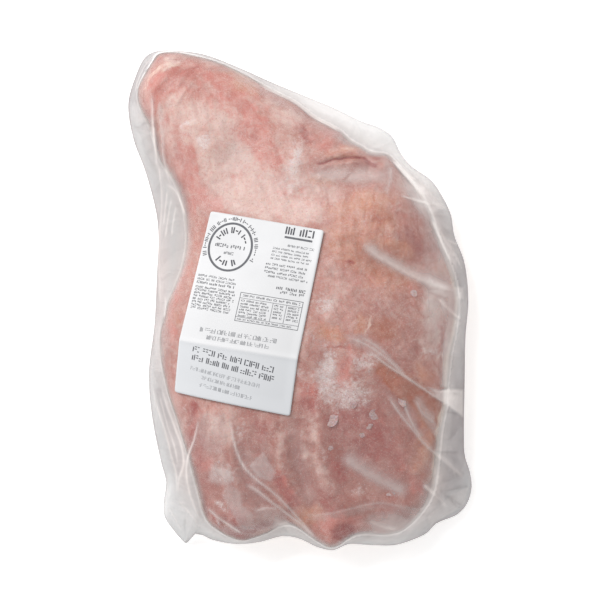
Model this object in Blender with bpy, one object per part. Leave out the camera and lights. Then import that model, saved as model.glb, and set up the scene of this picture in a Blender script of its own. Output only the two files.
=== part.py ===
"""A frozen bone-in pork shoulder in its clear bag, with a paper label on the front.

The shoulder lies on its skin side and the bag's film is stretched over it, so the filled bag is
one closed solid: the flesh stands up through the film and the loose film makes thin wavy margins
round it. The label is a second solid, stuck to the film.

The frame has its origin under the middle of the bag, on the surface that it lies on. +Y runs
along the shoulder towards the shank, +X to the side of the elbow, and +Z up out of the flesh.
"""

import math

import bpy
import numpy as np

MM = 0.001

# The bag: its overall size and its film
BAG_LENGTH = 447.0
BAG_WIDTH = 309.0
FILM_EDGE = 1.8
FILM_CLEARANCE = 0.9
FILM_SUCTION = 0.010

# The shoulder's thickness and how its edges are rounded
SIDE_HEIGHT = 38.0
SKIN_HEIGHT = 0.9
TOP_ROUNDING = 46.0
BOTTOM_ROUNDING = 40.0
TOP_BULGE = 2.5
BOTTOM_BULGE = 2.3

# The cut end of the shank, which is rounded over a shorter way: its middle, reach and turn
SHANK_END = ((-122.0, 198.0), (60.0, 40.0), 60.0)
SHANK_TIGHTER = 24.0

# The label
LABEL_THICKNESS = 0.8
LABEL_CLEARANCE = 0.35
LABEL_CORNER = 3.0
LABEL_FADE = 14.0

# How finely each face is divided
TOP_CELLS = 60
BOTTOM_CELLS = TOP_CELLS // 2
OUTLINE_STEPS = 960
GRID_SOFTENING = 0.04
GRID_FOLLOWING = 6
LABEL_COLUMNS = 12
LABEL_ROWS = 18
RELAX_ROUNDS = 900

# The bag's outline seen from above, clockwise from the shank, with the height of its edge
BAG_OUTLINE = (
    # over the shank and down the slack film beside it
    (-127.4, 224.1, 24), (-105.8, 223.2, 30), (-84.2, 219.6, 32), (-55.4, 208.8, 30),
    (-26.6, 196.2, 27), (2.3, 184.5, 24), (31.1, 172.8, 22), (56.0, 161.0, 19), (74.0, 154.8, 16),
    (84.5, 146.5, 15), (90.5, 133.2, 20),
    # the elbow and the long tight side
    (99.5, 121.0, 26), (118.4, 107.1, 27), (128.0, 93.0, 28), (135.5, 76.5, 30),
    (138.5, 58.0, 32), (147.2, 34.2, 34), (150.8, 0.0, 36), (148.2, -34.0, 36), (147.6, -75.0, 35),
    (147.2, -117.0, 32), (148.4, -140.0, 27),
    # the slack corner at the blade end
    (153.6, -156.0, 20), (155.4, -170.0, 16), (151.7, -184.5, 13), (143.0, -194.6, 12),
    (123.6, -203.0, 13), (114.8, -211.5, 14), (103.0, -217.0, 16), (86.0, -221.7, 19),
    # the blade end
    (62.0, -221.0, 24), (44.0, -220.0, 27), (30.0, -225.2, 28), (16.0, -222.4, 28),
    (0.5, -215.1, 28), (-14.0, -212.8, 26), (-36.0, -218.4, 24), (-56.0, -220.4, 22),
    (-78.0, -217.4, 17), (-93.5, -212.5, 8),
    # the pointed corner of the bag, flat on the table
    (-98.5, -217.5, 4), (-103.5, -222.0, 3), (-108.0, -218.0, 3), (-114.0, -211.0, 3),
    (-122.6, -197.8, 4), (-123.4, -184.5, 6), (-121.0, -166.0, 9),
    # the slack long side
    (-125.4, -147.0, 12), (-133.7, -103.5, 14), (-136.1, -66.0, 15), (-131.0, -22.0, 16),
    (-129.0, 22.0, 14), (-127.8, 55.8, 11), (-129.8, 78.0, 9), (-139.6, 116.0, 9),
    (-150.4, 146.0, 12), (-154.6, 177.0, 17), (-147.6, 202.0, 20), (-138.6, 219.0, 22),
)

# The shoulder's own outline inside the bag, in the same order
MEAT_OUTLINE = (
    # the shank and the long edge down to the elbow
    (-126.0, 217.5), (-112.0, 219.5), (-96.0, 217.0), (-79.0, 213.0), (-64.0, 207.5), (-49.5, 200.5),
    (-35.0, 192.5), (-20.0, 184.5), (-6.5, 178.0), (5.0, 170.0), (15.5, 161.5), (27.0, 156.0),
    (37.0, 150.0), (45.0, 142.0), (55.0, 136.5), (63.0, 131.5), (76.0, 130.0), (84.0, 124.5),
    (93.0, 114.0), (103.0, 101.5), (111.0, 89.0), (117.0, 76.0), (122.0, 62.0), (127.0, 48.0),
    # the long tight side
    (133.0, 34.0), (138.5, 18.0), (141.5, 2.0), (141.0, -14.0), (138.5, -30.0), (135.0, -46.0),
    (133.0, -62.0), (131.5, -78.0), (131.0, -92.0), (128.0, -106.0), (125.5, -120.0), (124.0, -136.0),
    (122.5, -150.0), (120.5, -164.0), (116.0, -177.0), (109.0, -188.0),
    # the blade end
    (99.0, -198.5), (88.0, -206.0), (74.0, -208.5), (60.0, -207.5), (50.0, -208.5), (42.0, -212.5),
    (34.0, -218.0), (26.0, -219.5), (17.0, -215.5), (8.0, -209.5), (-1.0, -203.0), (-9.0, -199.5),
    (-18.0, -201.0), (-28.0, -206.5), (-39.0, -210.5), (-51.0, -213.5), (-62.0, -210.5),
    # the slack long side
    (-72.0, -205.0), (-81.0, -198.0), (-86.5, -188.0), (-90.5, -173.0), (-94.5, -158.0), (-98.5, -143.0),
    (-103.0, -128.0), (-109.0, -108.0), (-115.0, -90.0), (-120.5, -70.0), (-124.0, -50.0),
    (-124.5, -32.0), (-121.5, -16.0), (-117.0, 0.0), (-111.0, 14.0), (-105.5, 28.0), (-102.5, 42.0),
    (-101.5, 56.0), (-102.5, 70.0), (-105.0, 84.0), (-109.0, 97.0), (-115.0, 108.0), (-121.5, 117.0),
    (-126.5, 127.0), (-130.0, 141.0), (-134.5, 154.0), (-140.5, 166.0), (-144.0, 176.0), (-144.0, 186.0),
    (-140.5, 195.0), (-135.0, 204.0), (-130.0, 212.0),
)

# Broad masses of the shoulder: middle, reach along and across, turn in degrees, height at the middle
BODY_HEIGHT = 56.0
MASSES = (
    ((10.0, -20.0), (205.0, 120.0), 96.0, 40.0),
    ((60.0, 30.0), (95.0, 70.0), 100.0, 10.0),
    ((-60.0, -60.0), (110.0, 55.0), 80.0, 8.0),
    ((-95.0, 175.0), (70.0, 40.0), 118.0, 12.0),
)

# Muscles and hollows on the flesh: name, middle, reach along and across, turn in degrees, height
MUSCLES = (
    ("shank_shin", (-98.0, 165.0), (58.0, 17.0), 118.0, 5.0),
    ("shank_tendon", (-118.0, 150.0), (46.0, 9.0), 104.0, 3.5),
    ("shank_knob", (-118.0, 203.0), (22.0, 15.0), 20.0, 6.0),
    ("shank_heel", (-133.0, 182.0), (16.0, 11.0), 70.0, 5.0),
    ("forearm", (-38.0, 156.0), (44.0, 24.0), 150.0, 6.5),
    ("forearm_hollow", (-58.0, 120.0), (36.0, 15.0), 60.0, -5.0),
    ("elbow_lip", (48.0, 126.0), (26.0, 9.0), 12.0, 7.0),
    ("elbow_round", (74.0, 70.0), (46.0, 38.0), 20.0, 9.0),
    ("elbow_hollow", (28.0, 102.0), (34.0, 14.0), 8.0, -6.0),
    ("breast_upper", (92.0, 6.0), (44.0, 26.0), 150.0, 5.0),
    ("breast_seam", (52.0, 32.0), (44.0, 11.0), 148.0, -4.5),
    ("breast_lower", (84.0, -58.0), (56.0, 30.0), 138.0, 5.0),
    ("blade_flat", (74.0, -128.0), (56.0, 42.0), 115.0, -3.0),
    ("blade_hollow", (22.0, -62.0), (34.0, 15.0), 105.0, -5.5),
    ("rib_first", (22.0, -140.0), (62.0, 9.0), 98.0, 4.5),
    ("rib_first_gap", (2.0, -146.0), (56.0, 8.0), 104.0, -4.5),
    ("rib_second", (-18.0, -140.0), (60.0, 9.0), 100.0, 4.0),
    ("rib_second_gap", (-42.0, -150.0), (52.0, 9.0), 108.0, -4.5),
    ("rib_third", (-62.0, -142.0), (52.0, 10.0), 106.0, 4.0),
    ("rib_third_gap", (-82.0, -150.0), (40.0, 7.0), 112.0, -3.0),
    ("brisket_point", (34.0, -196.0), (16.0, 13.0), 90.0, 6.0),
    ("brisket_left", (-50.0, -192.0), (24.0, 11.0), 5.0, 5.0),
    ("brisket_right", (96.0, -180.0), (22.0, 14.0), 30.0, 4.0),
    ("neck_ridge", (-106.0, -20.0), (72.0, 11.0), 88.0, 4.0),
)

# The slit in the crook of the elbow, from its inner end to its outer end
SLIT = ((15.0, 116.0), (32.0, 120.5), (48.0, 122.5), (60.0, 119.0), (68.0, 113.0))
SLIT_DEPTH = 7.0
SLIT_WIDTH = 4.2

# Tension folds of the film over the flesh: the line that each follows and its height
FOLDS = (
    (((50.0, 52.0), (62.0, 41.0), (78.0, 31.0), (95.0, 22.0), (112.0, 14.5), (142.0, 6.0)), 3.4),
    (((46.0, -36.0), (60.0, -45.5), (90.0, -66.0), (118.0, -84.5), (143.0, -101.0)), 3.8),
    (((73.0, -77.0), (88.0, -101.0), (106.0, -123.0), (127.0, -140.0), (138.0, -161.0)), 2.8),
    (((34.0, -132.0), (50.0, -144.0), (66.0, -154.0), (82.0, -162.5), (97.0, -170.0)), 3.2),
    (((-61.0, -98.0), (-57.0, -122.0), (-38.0, -155.0), (-10.0, -180.0), (16.0, -207.0)), 3.0),
    (((79.0, 125.0), (86.0, 117.0), (95.0, 106.5), (105.0, 95.0), (114.0, 86.5), (127.0, 82.0)), 2.6),
    (((-2.0, -188.0), (20.0, -186.0), (45.0, -181.0), (70.0, -176.5), (119.0, -180.0)), 1.8),
    (((114.0, 73.0), (120.0, 60.0), (125.0, 50.0), (140.0, 27.0)), 2.2),
)
FOLD_WIDTH = 7.0
FOLD_FADE = 0.22

# The label's left and right ends at its top edge, its crease and its bottom edge
LABEL_LINES = (
    ((-77.3, 77.0), (20.6, 59.6)),
    ((-105.0, -34.6), (-1.9, -50.3)),
    ((-109.2, -78.0), (-8.5, -99.2)),
)
LABEL_CREASE = 0.715


def closed_curve(points, steps):
    """A smooth closed curve through the points, as evenly spaced places along it."""
    knots = np.array(points, float)
    count = len(knots)
    dense = []
    for i in range(count):
        p0, p1, p2, p3 = (knots[(i + k) % count] for k in (-1, 0, 1, 2))
        reach = [math.dist(a[:2], b[:2]) ** 0.5 for a, b in ((p0, p1), (p1, p2), (p2, p3))]
        t0, t1 = 0.0, reach[0]
        t2 = t1 + reach[1]
        t3 = t2 + reach[2]
        for t in np.linspace(t1, t2, 24, endpoint=False):
            a1 = (t1 - t) / (t1 - t0) * p0 + (t - t0) / (t1 - t0) * p1
            a2 = (t2 - t) / (t2 - t1) * p1 + (t - t1) / (t2 - t1) * p2
            a3 = (t3 - t) / (t3 - t2) * p2 + (t - t2) / (t3 - t2) * p3
            b1 = (t2 - t) / (t2 - t0) * a1 + (t - t0) / (t2 - t0) * a2
            b2 = (t3 - t) / (t3 - t1) * a2 + (t - t1) / (t3 - t1) * a3
            dense.append((t2 - t) / (t2 - t1) * b1 + (t - t1) / (t2 - t1) * b2)
    return even_loop(np.array(dense), steps)


def even_loop(loop, steps):
    """The closed loop read at equal distances along it."""
    closed = np.vstack([loop, loop[:1]])
    gaps = np.linalg.norm(np.diff(closed[:, :2], axis=0), axis=1)
    along = np.concatenate([[0.0], np.cumsum(gaps)])
    places = np.linspace(0.0, along[-1], steps, endpoint=False)
    return np.column_stack([np.interp(places, along, closed[:, k]) for k in range(closed.shape[1])])


def fitted(loop, width, length):
    """The loop stretched to the stated width and length, with its middle at the origin."""
    low, high = loop[:, :2].min(0), loop[:, :2].max(0)
    loop = loop.copy()
    loop[:, :2] = (loop[:, :2] - (low + high) / 2) * (np.array([width, length]) / (high - low))
    return loop


def polyline_reach(places, line, closed=False):
    """Each place's distance to the line, and how far along the line its nearest point is, 0 to 1."""
    line = np.asarray(line, float)
    ends = np.roll(line, -1, axis=0) if closed else line[1:]
    starts = line if closed else line[:-1]
    lengths = np.linalg.norm(ends - starts, axis=1)
    before = np.concatenate([[0.0], np.cumsum(lengths)])
    best = np.full(len(places), np.inf)
    share = np.zeros(len(places))
    for i, (a, b) in enumerate(zip(starts, ends)):
        step = b - a
        t = np.clip((places - a) @ step / max(step @ step, 1e-12), 0.0, 1.0)
        far = np.linalg.norm(places - (a + t[:, None] * step), axis=1)
        nearer = far < best
        best = np.where(nearer, far, best)
        share = np.where(nearer, (before[i] + t * lengths[i]) / before[-1], share)
    return best, share


def inside(places, loop):
    """Whether each place lies inside the closed loop."""
    odd = np.zeros(len(places), bool)
    for (x0, y0), (x1, y1) in zip(loop, np.roll(loop, -1, axis=0)):
        if y0 == y1:
            continue
        crosses = (y0 > places[:, 1]) != (y1 > places[:, 1])
        odd ^= crosses & (places[:, 0] < (x1 - x0) * (places[:, 1] - y0) / (y1 - y0) + x0)
    return odd


def smooth_line(points, steps=40):
    """A smooth open line through the points."""
    points = np.array(points, float)
    knots = np.concatenate([[0.0], np.cumsum(np.linalg.norm(np.diff(points, axis=0), axis=1))])
    slopes = np.gradient(points, knots, axis=0)
    line = []
    for t in np.linspace(0.0, knots[-1], steps):
        i = min(np.searchsorted(knots, t, side="right") - 1, len(points) - 2)
        span = knots[i + 1] - knots[i]
        u = (t - knots[i]) / span
        line.append(
            (2 * u**3 - 3 * u**2 + 1) * points[i]
            + (u**3 - 2 * u**2 + u) * span * slopes[i]
            + (3 * u**2 - 2 * u**3) * points[i + 1]
            + (u**3 - u**2) * span * slopes[i + 1]
        )
    return np.array(line)


def mound(places, middle, reach, turn):
    """A smooth hill of height 1 at its middle, wider along its turned axis than across it."""
    angle = math.radians(turn)
    away = places - np.array(middle)
    along = away[:, 0] * math.cos(angle) + away[:, 1] * math.sin(angle)
    across = away[:, 1] * math.cos(angle) - away[:, 0] * math.sin(angle)
    return np.exp(-((along / reach[0]) ** 2) - (across / reach[1]) ** 2)


def rounded(depth, rounding, bulge):
    """The share of full height at a depth inside the outline: 0 at the outline, 1 past the rounding."""
    rest = 1.0 - np.clip(depth / rounding, 0.0, 1.0)
    return (1.0 - rest**bulge) ** (1.0 / bulge)


def label_corner(across, down):
    """The place on the label's plan at a share across it and a share down it."""
    top, crease, bottom = (np.array(line) for line in LABEL_LINES)
    if down <= LABEL_CREASE:
        share = down / LABEL_CREASE
        left, right = top + (crease - top) * share
    else:
        share = (down - LABEL_CREASE) / (1.0 - LABEL_CREASE)
        left, right = crease + (bottom - crease) * share
    return left + (right - left) * across


def label_outline():
    """The label's outline seen from above."""
    shares = ((0, 0), (1, 0), (1, LABEL_CREASE), (1, 1), (0, 1), (0, LABEL_CREASE))
    return np.array([label_corner(across, down) for across, down in shares])


def away_from_label(places):
    """0 under the label, where the film is held flat, rising to 1 away from it."""
    outline = label_outline()
    far, _ = polyline_reach(places, outline, closed=True)
    far = np.where(inside(places, outline), 0.0, far)
    share = np.clip(far / LABEL_FADE, 0.0, 1.0)
    return share * share * (3.0 - 2.0 * share)


def flesh_height(places):
    """The height of the flesh side, before its edges are rounded."""
    height = np.full(len(places), BODY_HEIGHT)
    for middle, reach, turn, rise in MASSES:
        height += rise * mound(places, middle, reach, turn)
    relief = np.zeros(len(places))
    for _, middle, reach, turn, rise in MUSCLES:
        relief += rise * mound(places, middle, reach, turn)
    far, share = polyline_reach(places, smooth_line(SLIT))
    relief -= SLIT_DEPTH * np.exp(-((far / SLIT_WIDTH) ** 2)) * np.sin(math.pi * share)
    return height + relief * away_from_label(places)


def shoulder_faces(places, outline):
    """The heights of the flesh side and the skin side, and a mask of where the shoulder is."""
    depth, _ = polyline_reach(places, outline, closed=True)
    within = inside(places, outline)
    depth = np.where(within, depth, 0.0)
    rounding = TOP_ROUNDING - SHANK_TIGHTER * mound(places, *SHANK_END)
    top = SIDE_HEIGHT + (flesh_height(places) - SIDE_HEIGHT) * rounded(depth, rounding, TOP_BULGE)
    drop = SIDE_HEIGHT - SKIN_HEIGHT
    bottom = SIDE_HEIGHT - drop * rounded(depth, BOTTOM_ROUNDING, BOTTOM_BULGE)
    return top, bottom, within


def softened(outline):
    """The outline with its corners and notches smoothed away."""
    reach = int(len(outline) * GRID_SOFTENING)
    return sum(np.roll(outline, shift, axis=0) for shift in range(-reach, reach + 1)) / (2 * reach + 1)


def face_grid(cells, outline):
    """Places of a square grid drawn out to fill the outline, as an array of rows of (x, y, edge height).

    Only the grid's outermost rings follow the outline's corners and notches.
    """
    steps = np.linspace(-1.0, 1.0, cells + 1)
    u, v = np.meshgrid(steps, steps, indexing="ij")
    round_u = u * np.sqrt(1.0 - v * v / 2.0)
    round_v = v * np.sqrt(1.0 - u * u / 2.0)
    reach = np.hypot(round_u, round_v)
    turn = (np.arctan2(round_v, round_u) / (2.0 * math.pi)) % 1.0
    along = np.linspace(0.0, 1.0, len(outline) + 1)
    rims = []
    for loop in (outline, softened(outline)):
        closed = np.vstack([loop, loop[:1]])
        rims.append(np.stack([np.interp(turn, along, closed[:, k]) for k in range(3)], axis=-1))
    rim = rims[1] + (rims[0] - rims[1]) * reach[..., None] ** GRID_FOLLOWING
    middle = outline.mean(0)
    return middle + reach[..., None] * (rim - middle)


def stretched(edge, floor, load):
    """A film held at the grid's rim and pulled down by the load, but kept above the floor."""
    film = np.maximum(edge, floor)
    checks = np.indices(film.shape).sum(0)[1:-1, 1:-1] % 2
    quick = 2.0 / (1.0 + math.sin(math.pi / len(film)))
    for turn in range(RELAX_ROUNDS):
        middle = film[1:-1, 1:-1]
        around = film[:-2, 1:-1] + film[2:, 1:-1] + film[1:-1, :-2] + film[1:-1, 2:]
        moved = middle + quick * ((around / 4.0 - load) - middle)
        moved = np.maximum(moved, floor[1:-1, 1:-1])
        film[1:-1, 1:-1] = np.where(checks == turn % 2, moved, middle)
    return film


def film_folds(places):
    """How far the film's folds stand above it."""
    rise = np.zeros(len(places))
    for line, height in FOLDS:
        far, share = polyline_reach(places, smooth_line(line))
        ends = np.clip(np.minimum(share, 1.0 - share) / FOLD_FADE, 0.0, 1.0)
        rise = np.maximum(rise, height * ends * np.exp(-((far / FOLD_WIDTH) ** 2)))
    return rise * away_from_label(places)


def bag_faces():
    """The grids of the bag's upper and lower film."""
    bag = fitted(closed_curve(BAG_OUTLINE, OUTLINE_STEPS), BAG_WIDTH, BAG_LENGTH)
    meat = closed_curve([(x, y, 0.0) for x, y in MEAT_OUTLINE], OUTLINE_STEPS // 2)[:, :2]
    # The outline starts on the right, where the grid's own turn starts, and runs anticlockwise.
    bag = bag[::-1]
    bag = np.roll(bag, -int(np.argmin(np.abs(np.arctan2(bag[:, 1], bag[:, 0])))), axis=0)

    upper = face_grid(TOP_CELLS, bag)
    places = upper[..., :2].reshape(-1, 2)
    flesh, _, within = shoulder_faces(places, meat)
    edge = upper[..., 2] + FILM_EDGE / 2
    floor = np.where(within, flesh + FILM_CLEARANCE, -np.inf).reshape(edge.shape)
    film = stretched(edge, floor, FILM_SUCTION * (60 / TOP_CELLS) ** 2)
    folds = film_folds(places).reshape(edge.shape)
    folds[[0, -1], :] = 0.0
    folds[:, [0, -1]] = 0.0
    upper[..., 2] = film + folds

    lower = face_grid(BOTTOM_CELLS, bag)
    places = lower[..., :2].reshape(-1, 2)
    _, skin, within = shoulder_faces(places, meat)
    edge = lower[..., 2] - FILM_EDGE / 2
    ceiling = np.where(within, skin - FILM_CLEARANCE, np.inf).reshape(edge.shape)
    lower[..., 2] = np.maximum(-stretched(-edge, -ceiling, 0.0), 0.0)
    return upper, lower


def rim_of(cells):
    """The grid's rim as (row, column), in order round it."""
    ends = [(cells, j) for j in range(cells)]
    ends += [(i, cells) for i in range(cells, 0, -1)]
    ends += [(0, j) for j in range(cells, 0, -1)]
    return ends + [(i, 0) for i in range(cells)]


def grid_faces(grid, first, turned):
    """Triangles of a grid whose points start at the given number, split along the shorter diagonal."""
    cells = len(grid) - 1
    faces = []
    for i in range(cells):
        for j in range(cells):
            a = first + i * (cells + 1) + j
            b, c, d = a + cells + 1, a + cells + 2, a + 1
            rising = math.dist(grid[i, j], grid[i + 1, j + 1])
            falling = math.dist(grid[i + 1, j], grid[i, j + 1])
            pair = ((a, b, c), (a, c, d)) if rising < falling else ((a, b, d), (b, c, d))
            faces += [face[::-1] if turned else face for face in pair]
    return faces


def new_object(name, points, faces, material):
    mesh = bpy.data.meshes.new(name)
    mesh.from_pydata([tuple(point) for point in points], [], faces)
    mesh.materials.append(material)
    mesh.shade_smooth()
    made = bpy.data.objects.new(name, mesh)
    bpy.context.scene.collection.objects.link(made)
    return made


def new_material(name, colour, roughness):
    made = bpy.data.materials.new(name)
    made.use_nodes = True
    shader = made.node_tree.nodes["Principled BSDF"]
    shader.inputs["Base Color"].default_value = (*colour, 1.0)
    shader.inputs["Roughness"].default_value = roughness
    return made


def make_filled_bag():
    """The bag and the shoulder in it, as one closed solid with a thin edge all round."""
    upper, lower = bag_faces()
    points = np.vstack([upper.reshape(-1, 3), lower.reshape(-1, 3)]) * MM
    first = upper.shape[0] * upper.shape[1]
    faces = grid_faces(upper, 0, turned=False) + grid_faces(lower, first, turned=True)
    above = [i * (TOP_CELLS + 1) + j for i, j in rim_of(TOP_CELLS)]
    below = [first + i * (BOTTOM_CELLS + 1) + j for i, j in rim_of(BOTTOM_CELLS)]
    for k, low in enumerate(below):
        next_low = below[(k + 1) % len(below)]
        a, b, c = (above[(2 * k + n) % len(above)] for n in range(3))
        faces += [(b, a, low), (b, low, next_low), (c, b, next_low)]
    flesh = new_material("frozen_pork_in_film", (0.56, 0.28, 0.24), 0.35)
    return new_object("filled_bag", points, faces, flesh)


def corner_rounded(across, down, width, height):
    """A place on the label, given from its middle, with the four corners drawn in to an arc."""
    inner = np.array([width / 2, height / 2]) - LABEL_CORNER
    past = (np.abs([across, down]) - inner) / LABEL_CORNER
    if min(past) <= 0.0:
        return across, down
    a, b = past
    arc = np.array([a * math.sqrt(1.0 - b * b / 2.0), b * math.sqrt(1.0 - a * a / 2.0)])
    return tuple(np.sign([across, down]) * (inner + LABEL_CORNER * arc))


def spaced(length, cells):
    """Grid lines over a length, with a line where each rounded corner starts."""
    inner = np.linspace(-length / 2 + LABEL_CORNER, length / 2 - LABEL_CORNER, cells - 3)
    half = length / 2 - LABEL_CORNER / 2
    return np.concatenate([[-length / 2, -half], inner, [half, length / 2]])


def film_height(bag, plan):
    """The height of the film straight under a place on the label."""
    hit, spot, _, _ = bag.ray_cast((*(plan * MM), 1.0), (0.0, 0.0, -1.0))
    if not hit:
        raise ValueError("the label runs off the bag")
    return spot.z / MM


def sheet_lift(bag, sheet):
    """How far the film stands above the sheet between its points, at most."""
    lift = 0.0
    for corner, along, down, across in zip(
        sheet[:-1, :-1].reshape(-1, 3),
        sheet[:-1, 1:].reshape(-1, 3),
        sheet[1:, :-1].reshape(-1, 3),
        sheet[1:, 1:].reshape(-1, 3),
    ):
        for a, b in ((along, across), (down, across)):
            for s, t in ((0.5, 0.0), (0.0, 0.5), (0.5, 0.5), (0.33, 0.33), (0.25, 0.25), (0.25, 0.5)):
                place = corner + (a - corner) * s + (b - corner) * t
                lift = max(lift, film_height(bag, place[:2]) - place[2])
    return lift


def make_label(bag):
    """The label, a thin sheet that follows the film under it."""
    top_left, top_right = (np.array(end) for end in LABEL_LINES[0])
    bottom_left = np.array(LABEL_LINES[2][0])
    width, height = np.linalg.norm(top_right - top_left), np.linalg.norm(bottom_left - top_left)
    sheet = np.zeros((LABEL_ROWS + 1, LABEL_COLUMNS + 1, 3))
    for i, down in enumerate(spaced(height, LABEL_ROWS)):
        for j, across in enumerate(spaced(width, LABEL_COLUMNS)):
            x, y = corner_rounded(across, down, width, height)
            plan = label_corner(x / width + 0.5, y / height + 0.5)
            sheet[i, j] = (*plan, film_height(bag, plan))
    sheet[..., 2] += sheet_lift(bag, sheet) + LABEL_CLEARANCE
    under = sheet.reshape(-1, 3)
    over = under + (0.0, 0.0, LABEL_THICKNESS)
    columns, rows, count = LABEL_COLUMNS + 1, LABEL_ROWS + 1, len(under)
    faces = []
    for i in range(rows - 1):
        for j in range(columns - 1):
            a, b, c, d = i * columns + j, i * columns + j + 1, (i + 1) * columns + j + 1, (i + 1) * columns + j
            faces += [(a, b, c), (a, c, d)]
            faces += [(count + c, count + b, count + a), (count + d, count + c, count + a)]
    ring = [j for j in range(columns)]
    ring += [i * columns + columns - 1 for i in range(1, rows)]
    ring += [(rows - 1) * columns + j for j in range(columns - 2, -1, -1)]
    ring += [i * columns for i in range(rows - 2, 0, -1)]
    for a, b in zip(ring, ring[1:] + ring[:1]):
        faces += [(a, count + a, count + b), (a, count + b, b)]
    paper = new_material("white_paper", (0.86, 0.87, 0.88), 0.45)
    return new_object("label", np.vstack([under, over]) * MM, faces, paper)


def main():
    for old in list(bpy.data.objects):
        bpy.data.objects.remove(old)
    bag = make_filled_bag()
    bpy.context.view_layer.update()
    make_label(bag)


main()
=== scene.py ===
"""The looks of a frozen bone-in pork shoulder in its clear bag, with a paper label on the film.

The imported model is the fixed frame. The shoulder, the film stretched over it, the ice between
them, the cut bone of the shank and the printed label are made round it, and a plain studio
shows them from straight above.
"""

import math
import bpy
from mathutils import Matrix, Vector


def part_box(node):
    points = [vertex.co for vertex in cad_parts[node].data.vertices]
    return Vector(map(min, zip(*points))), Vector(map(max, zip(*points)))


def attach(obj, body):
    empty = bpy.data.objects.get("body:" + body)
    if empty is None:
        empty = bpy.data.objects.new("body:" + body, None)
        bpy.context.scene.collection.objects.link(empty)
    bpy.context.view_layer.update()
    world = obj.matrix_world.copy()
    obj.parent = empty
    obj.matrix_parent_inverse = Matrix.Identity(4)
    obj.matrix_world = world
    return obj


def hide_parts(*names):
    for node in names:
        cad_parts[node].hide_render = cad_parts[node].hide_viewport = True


bl_info = {
    "name": "Bagged Pork Shoulder",
    "version": (1, 0, 0),
    "blender": (4, 5, 0),
    "location": "3D View > Sidebar > Shoulder",
    "description": "Makes a frozen bone-in pork shoulder in a clear bag, flesh side up",
    "category": "Object",
}

import bmesh
import bpy
import numpy as np
from bpy.props import FloatProperty, FloatVectorProperty, IntProperty, PointerProperty
from bpy.types import Operator, Panel, PropertyGroup
from mathutils import Vector, noise
from mathutils.bvhtree import BVHTree

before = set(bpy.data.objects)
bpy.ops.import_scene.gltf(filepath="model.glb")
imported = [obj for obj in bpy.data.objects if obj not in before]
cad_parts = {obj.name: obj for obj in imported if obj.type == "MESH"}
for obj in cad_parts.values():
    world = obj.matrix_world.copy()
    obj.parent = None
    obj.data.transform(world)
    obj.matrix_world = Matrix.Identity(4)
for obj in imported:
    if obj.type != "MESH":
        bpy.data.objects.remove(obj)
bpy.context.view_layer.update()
BAG_LOW, BAG_HIGH = (np.array(corner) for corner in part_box("filled_bag"))

MM = 0.001

# ---------------------------------------------------------------------------------------------
# Sizes and places, in millimetres. +Y runs towards the shank, +X towards the elbow side.

# The bag's outline seen from above, clockwise from the shank, with the height of its edge
BAG_OUTLINE = (
    # over the shank and down the slack film beside it
    (-127.4, 224.1, 24), (-105.8, 223.2, 30), (-84.2, 219.6, 32), (-55.4, 208.8, 30), (-26.6, 196.2, 27),
    (2.3, 184.5, 24), (31.1, 172.8, 22), (56, 161, 19), (74, 154.8, 16), (84.5, 146.5, 15),
    (90.5, 133.2, 20),
    # the elbow and the long tight side
    (99.5, 121, 26), (118.4, 107.1, 27), (128, 93, 28), (135.5, 76.5, 30), (138.5, 58, 32),
    (147.2, 34.2, 34), (150.8, 0, 36), (148.2, -34, 36), (147.6, -75, 35), (147.2, -117, 32),
    (148.4, -140, 27),
    # the slack corner at the blade end
    (153.6, -156, 20), (155.4, -170, 16), (151.7, -184.5, 13), (143, -194.6, 12), (123.6, -203, 13),
    (114.8, -211.5, 14), (103, -217, 16), (86, -221.7, 19),
    # the blade end
    (62, -221, 24), (44, -220, 27), (30, -225.2, 28), (16, -222.4, 28), (0.5, -215.1, 28),
    (-14, -212.8, 26), (-36, -218.4, 24), (-56, -220.4, 22), (-78, -217.4, 17), (-93.5, -212.5, 8),
    # the pointed corner of the bag, flat on the table
    (-98.5, -217.5, 4), (-103.5, -222, 3), (-108, -218, 3), (-114, -211, 3), (-122.6, -197.8, 4),
    (-123.4, -184.5, 6), (-121, -166, 9),
    # the slack long side
    (-125.4, -147, 12), (-133.7, -103.5, 14), (-136.1, -66, 15), (-131, -22, 16), (-129, 22, 14),
    (-127.8, 55.8, 11), (-129.8, 78, 9), (-139.6, 116, 9), (-150.4, 146, 12), (-154.6, 177, 17),
    (-147.6, 202, 20), (-138.6, 219, 22),
)

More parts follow.
